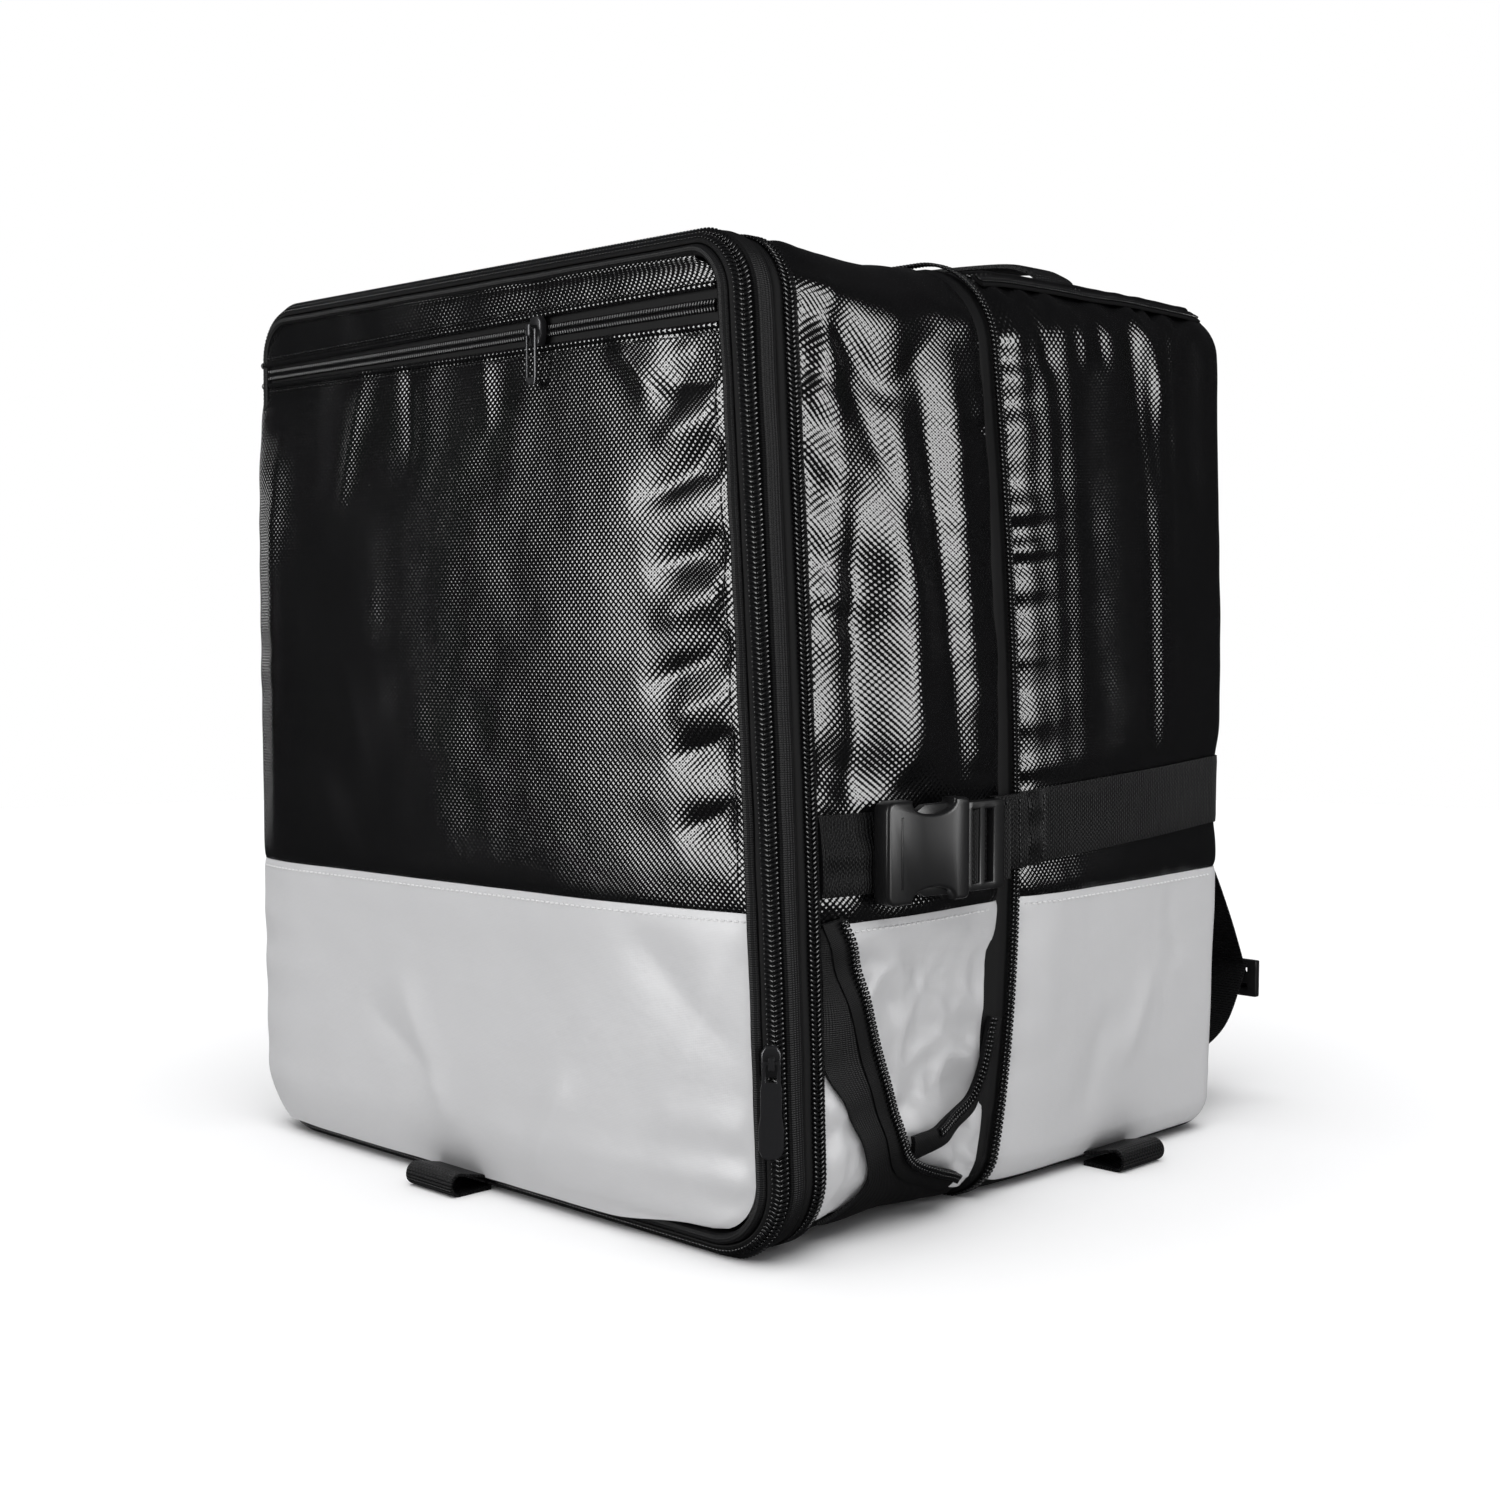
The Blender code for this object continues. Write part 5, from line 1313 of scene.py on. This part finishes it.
TAPE_THICKNESS = 0.0014
facing = curve_through(FACING_ROWS, 6)
facing_depth = mix(facing[:, 1:2], facing[:, 2:3], np.linspace(0, 1, 12)[None]) * DEPTH
facing_height = np.broadcast_to(facing[:, :1] * HEIGHT, facing_depth.shape)
front_route = curve_through(np.array(FRONT_TAPE_ROUTE) * (DEPTH, HEIGHT), 8)
rear_route = curve_through(np.array(REAR_TAPE_ROUTE) * (DEPTH, HEIGHT), 8)
rear_widths = np.interp(np.linspace(0, 1, len(rear_route)), (0, 0.6, 1), (0.0085, 0.0090, 0.0135))
for side, word in ((1, "right"), (-1, "left")):
    outer = side_point(side, facing_depth, facing_height, 0.0022)
    inner = side_point(side, facing_depth, facing_height, 0.0002)
    sheet(f"frame_facing_cloth_{word}", outer, inner, binding, [f"frame_facing_{word}"])
    loose_tape(f"front_tape_{word}", side, front_route, 0.0105, 0.0024, 0.0036, 0.0054, None)
    loose_tape(f"rear_tape_{word}", side, rear_route, rear_widths, 0.0030, -0.0032, 0.0058, 34)

# Zipper sliders and their pulls
# Dark lacquered metal. The pocket's slider carries a wire loop and the door's a flat tab on a ring.

SLIDER_LENGTH = 0.015
SLIDER_WIDTH = 0.0095
SLIDER_THICKNESS = 0.0045
BRIDGE_WIDTH = 0.0030
BRIDGE_BAR = 0.0012
PULL_BAR = 0.0016
PIVOT_RISE = 0.0024
POCKET_SLIDER_X = 0.056
POCKET_PULL_LENGTH = 0.028
DOOR_SLIDER_HEIGHT = 0.103
DOOR_PULL_LENGTH = 0.046

metal, tree, shader = shader_of("pull_metal", (0.030, 0.030, 0.032), 0.28, 0.4, 0.5)
bumped(tree, shader, speckle(tree, object_map(tree), 0.0015, 2.0), 0.00004, 0.4)


def slider(name, at):
    """A slider's body with its bridge: X across the chain, Y along it, Z outwards."""
    wide, long = SLIDER_WIDTH / 2, SLIDER_LENGTH / 2
    nose = wide * 0.6
    corners = [(-wide, -long * 0.4), (-nose * 1.3, -long * 0.8), (-nose, -long), (nose, -long)]
    corners += [(nose * 1.3, -long * 0.8), (wide, -long * 0.4), (wide, long * 0.6), (nose, long)]
    corners += [(-nose, long), (-wide, long * 0.6)]
    made = plate(corners, SLIDER_THICKNESS, 0.0009, 3)
    reach = PULL_BAR / 2 + 0.0010
    roof = PIVOT_RISE + PULL_BAR / 2 + 0.0006
    columns = [-reach - BRIDGE_BAR, -reach, reach, reach + BRIDGE_BAR]
    rows = [(-0.0010, 1.0), (roof, 1.0), (roof + BRIDGE_BAR, 1.0)]
    arch = cut_grid(columns, rows, {(1, 0)}, BRIDGE_WIDTH, 0.0003)
    turn = Matrix(((0, 0, 1), (1, 0, 0), (0, 1, 0))).to_4x4()
    upright = Matrix.Translation((-BRIDGE_WIDTH / 2, 0, SLIDER_THICKNESS)) @ turn
    bmesh.ops.transform(arch, matrix=upright, verts=arch.verts)
    add_to(made, arch)
    bmesh.ops.transform(made, matrix=at, verts=made.verts)
    placed_piece(f"{name}_metal", made, metal, [name], sharp=35)


def pull(name, at, half_width, wire, rows, hole):
    """A pull hanging from its bar. rows are (distance below the bar, share of the width)."""
    columns = [-half_width, -half_width + wire, half_width - wire, half_width]
    made = cut_grid(columns, [(-below, wide) for below, wide in rows], hole, PULL_BAR, 0.00035)
    lift = SLIDER_THICKNESS + PIVOT_RISE - PULL_BAR / 2
    bmesh.ops.transform(made, matrix=at @ Matrix.Translation((0, 0, lift)), verts=made.verts)
    placed_piece(f"{name}_metal", made, metal, [name], body=name, sharp=35)


across_at = np.array([POCKET_SLIDER_X / (WIDTH / 2)])
strip_middle = float(pocket_middle(across_at)[0])
slider_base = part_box("pocket_slider")[1][1]
pocket_at = Matrix.Translation((POCKET_SLIDER_X, slider_base, strip_middle))
pocket_at = pocket_at @ Matrix(((1, 0, 0), (0, 0, -1), (0, 1, 0))).to_4x4()
slider("pocket_slider", pocket_at)
bar = PULL_BAR / 2
loop_rows = [(-bar, 1.0), (bar, 1.0), (POCKET_PULL_LENGTH - 0.004, 1.0), (POCKET_PULL_LENGTH, 0.8)]
pull("pocket_pull", pocket_at, 0.0040, 0.0014, loop_rows, {(1, 1)})
corner_place = place_at(np.array([DOOR_SLIDER_HEIGHT]), np.array([0.0]))
corner = hoop(corner_place, np.array([0.0018]), np.array([-0.0026]))[0]
slant = math.sqrt(0.5)
door_at = Matrix.Translation(Vector(corner.tolist()) + Vector((slant, -slant, 0)) * 0.0012)
door_at = door_at @ Matrix(((slant, 0, slant), (slant, 0, -slant), (0, 1, 0))).to_4x4()
slider("door_slider", door_at)
long = DOOR_PULL_LENGTH
tab_rows = [(-bar, 0.75), (bar, 0.75), (0.009, 0.75), (0.012, 0.85), (long * 0.55, 0.85)]
tab_rows += [(long * 0.68, 1.0), (long * 0.90, 1.0), (long * 0.97, 0.75), (long, 0.4)]
pull("door_pull", door_at, 0.0060, 0.0024, tab_rows, {(1, 1)})

# Loops under the base
# Short teardrops of webbing sewn under the bag's edge at the front and at both sides.

LOOP_REACH = 0.028
LOOP_HEIGHT = 0.013
LOOP_TAIL_HEIGHT = 0.008
LOOP_FRONT_X = -0.012
LOOP_SIDE_DEPTH = 0.288


def loop(name, at):
    """X along the webbing's width, Y outwards from the edge that it is sewn under, Z up."""
    turn = np.linspace(-math.pi / 2, math.pi / 2, 17)
    radius = LOOP_HEIGHT / 2

    def line(size, low, high):
        bend = np.stack((LOOP_REACH - radius + size * np.cos(turn), radius + size * np.sin(turn)), 1)
        return np.concatenate(([(0.0, low)], bend, [(0.0, high)]))

    thick = WEBBING_THICKNESS
    half = WEBBING_WIDTH / 2
    shares = np.linspace(-1, 1, 9)
    outer_path = line(radius, 0.0, LOOP_TAIL_HEIGHT)
    inner_path = line(radius - thick, 1.6 * thick, LOOP_TAIL_HEIGHT - thick)
    layers = []
    for path in (outer_path, inner_path):
        columns = np.broadcast_arrays(half * shares[None], path[:, :1], path[:, 1:], 1.0)
        layers.append((np.stack(columns, -1) @ np.array(at).T)[..., :3])
    sheet(f"{name}_webbing", layers[0], layers[1], webbing, [name])


front_edge = Matrix.Translation((LOOP_FRONT_X, -DEPTH / 2 - 0.0019, 0))
loop("base_loop_front", front_edge @ Matrix.Rotation(math.pi, 4, "Z"))
for side, word in ((1, "right"), (-1, "left")):
    low_box, high_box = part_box(f"base_loop_{word}")
    reach = low_box[0] if side > 0 else high_box[0]
    turned = Matrix.Rotation(-side * math.pi / 2, 4, "Z")
    loop(f"base_loop_{word}", Matrix.Translation((reach, LOOP_SIDE_DEPTH - DEPTH / 2, 0)) @ turned)

# Carry handle
# Doubled webbing over the rear of the lid, its ends turned under and sewn down.

HANDLE_DEPTH = 0.365
HANDLE_LENGTH = 0.224
HANDLE_RISE = 0.038
HANDLE_WIDTH = 0.038
HANDLE_THICKNESS = 0.0044

level = 0.990 * HEIGHT + 0.0006 + HANDLE_THICKNESS / 2
end = HANDLE_LENGTH / 2
peak = level + HANDLE_RISE
handle_y = HANDLE_DEPTH - DEPTH / 2
low = level + HANDLE_THICKNESS * 0.3
turned = low + 0.014
right = [
    (0.0, peak),
    (0.45 * end, peak - 0.001),
    (0.80 * end, peak - 0.004),
    (0.97 * end, peak - 0.011),
    (1.01 * end, turned + 0.004),
    (0.96 * end, turned - 0.004),
    (1.04 * end, low + 0.005),
    (1.00 * end, low),
    (0.70 * end, low),
]
route = curve_through([(-x, z) for x, z in reversed(right[1:])] + right, 6)
centres = np.stack((route[:, 0], np.full(len(route), handle_y), route[:, 1]), 1)
outs = np.cross(unit(np.gradient(centres, axis=0)), (0.0, 1.0, 0.0))
handle_cloth = (webbing, "webbing_black", ["top_handle"])
flat_band("top_handle_webbing", centres, outs, HANDLE_WIDTH, HANDLE_THICKNESS, *handle_cloth)

# Shoulder straps
# Padded straps from the top of the back, each with webbing that comes down through an adjuster to an
# anchor sewn at the lower corner.

SHOULDER_SPACING = 0.230
PAD_WIDTH = 0.070
PAD_THICKNESS = 0.012
ADJUSTER_LENGTH = 0.024
ADJUSTER_WIDTH = 0.042
ADJUSTER_THICKNESS = 0.005

mesh_cloth, tree, shader = shader_of("padded_mesh", (0.018, 0.018, 0.020), 0.80, 0.3)
mesh_map = own_map(tree)
cells = joined(tree, "MULTIPLY", wave(tree, mesh_map, 0, 0.0030), wave(tree, mesh_map, 1, 0.0030))
bumped(tree, shader, cells, 0.0005, 0.9)


def hung_band(name, route, widths, thickness, material, slot, nodes, crowned=False):
    """A band through centre points, its width along X. A crowned one is round like a pad."""
    centres = curve_through(route, 10)
    wide = curve_through([(w,) for w in widths], 10)
    normal = unit(np.cross(unit(np.gradient(centres, axis=0)), (1.0, 0.0, 0.0)))
    shares = np.linspace(-1, 1, 17)
    middle = centres[:, None] + (wide * shares / 2)[..., None] * np.array((1.0, 0.0, 0.0))
    edge = np.sqrt(1 - 0.92 * shares**6) if crowned else 1 - 0.5 * np.abs(shares) ** 8
    thick = np.broadcast_to(thickness / 2 * edge, middle.shape[:2]).copy()
    if crowned:
        ends = np.minimum(lengths(centres), lengths(centres)[-1] - lengths(centres))
        thick *= np.clip(0.35 + ends / 0.012, 0, 1)[:, None]
        thick += rumple(middle, 0.030, 0.0009, 61.0)
    offset = normal[:, None] * thick[..., None]
    return sheet(name, middle + offset, middle - offset, material, nodes)


for side, word in ((1, "right"), (-1, "left")):
    x = side * SHOULDER_SPACING / 2
    back = DEPTH / 2 + 0.0006 + PAD_THICKNESS / 2
    pad_route = [
        (0.62 * x, back, 0.920 * HEIGHT),
        (0.72 * x, back + 0.014, 0.830 * HEIGHT),
        (0.92 * x, back + 0.030, 0.690 * HEIGHT),
        (1.06 * x, back + 0.036, 0.550 * HEIGHT),
        (1.14 * x, back + 0.036, 0.420 * HEIGHT),
    ]
    widths = [PAD_WIDTH * share for share in (1.0, 1.0, 1.0, 0.95, 0.70)]
    padding = (PAD_THICKNESS, mesh_cloth, "padded_mesh", [f"shoulder_pad_{word}"], True)
    pad = hung_band(f"shoulder_pad_cloth_{word}", pad_route, widths, *padding)
    narrow = [0.75 * WEBBING_WIDTH] * 4
    foot = pad_route[-1]
    fold = (1.46 * x, DEPTH / 2 + 0.090, 0.155 * HEIGHT)
    upper_route = [
        (foot[0], foot[1], foot[2] + 0.006),
        (1.28 * x, DEPTH / 2 + 0.066, 0.330 * HEIGHT),
        (1.40 * x, DEPTH / 2 + 0.076, 0.240 * HEIGHT),
        (fold[0], fold[1] + 0.0030, fold[2] - 0.010),
    ]
    node = f"shoulder_webbing_{word}"
    hung_band(f"{node}_cloth", upper_route, narrow, WEBBING_THICKNESS, webbing, "webbing_black", [node])
    lower_route = [
        (fold[0], fold[1] - 0.0030, fold[2] + 0.010),
        (1.50 * x, DEPTH / 2 + 0.056, 0.108 * HEIGHT),
        (1.52 * x, DEPTH / 2 + 0.022, 0.082 * HEIGHT),
        (1.53 * x, DEPTH / 2 + 0.0012, 0.082 * HEIGHT),
    ]
    node = f"anchor_webbing_{word}"
    hung_band(f"{node}_cloth", lower_route, narrow, WEBBING_THICKNESS, webbing, "webbing_black", [node])
    wide, long = ADJUSTER_WIDTH / 2, ADJUSTER_LENGTH / 2
    columns = [-wide, -wide + 0.0068, wide - 0.0068, wide]
    rows = [(-long, 1), (-long + 0.005, 1), (-0.0035, 1), (0.0035, 1), (long - 0.005, 1), (long, 1)]
    adjuster = cut_grid(columns, rows, {(1, 1), (1, 3)}, ADJUSTER_THICKNESS, 0.0009)
    upright = Matrix(((side, 0, 0), (0, 0, 1), (0, 1, 0))).to_4x4()
    seat = Matrix.Translation(Vector(fold) - Vector((0, ADJUSTER_THICKNESS / 2, 0)))
    bmesh.ops.transform(adjuster, matrix=seat @ upright, verts=adjuster.verts)
    bmesh.ops.recalc_face_normals(adjuster, faces=adjuster.faces)
    node = f"strap_adjuster_{word}"
    placed_piece(f"{node}_plastic", adjuster, plastic, [node], sharp=35)

# Back panel
# Padded mesh cloth, sewn inside the rounded rear edge.

BACK_INSET = REAR_RADIUS + 0.0010
BACK_THICKNESS = 0.006
back_across, back_share = np.meshgrid(np.linspace(-1, 1, 120), np.linspace(0, 1, 140))
back_height = mix(BACK_INSET, 0.990 * HEIGHT - BACK_INSET, back_share)
back_left = edge_at(-1, back_height, BODY_TURN, BACK_INSET)
back_right = edge_at(1, back_height, BODY_TURN, BACK_INSET)
back_x = mix(back_left, back_right, (back_across + 1) / 2)
rims = (back_x - back_left, back_right - back_x, back_height - BACK_INSET, 0.476 - back_height)
rim = np.minimum.reduce(rims)
flat = np.stack((back_x, np.zeros_like(back_x), back_height), -1)
swell = 0.0012 * smooth(rim / 0.02) + rumple(flat, 0.07, 0.0006, 71.0) * smooth(rim / 0.02)
back_points = np.stack((back_x, DEPTH / 2 - 0.0008 + swell * 0.8, back_height), -1)
padded_cloth = (mesh_cloth, "padded_mesh", ["back_panel"])
made = panel("back_panel_cloth", back_points, BACK_THICKNESS, (0, 1, 0), *padded_cloth)
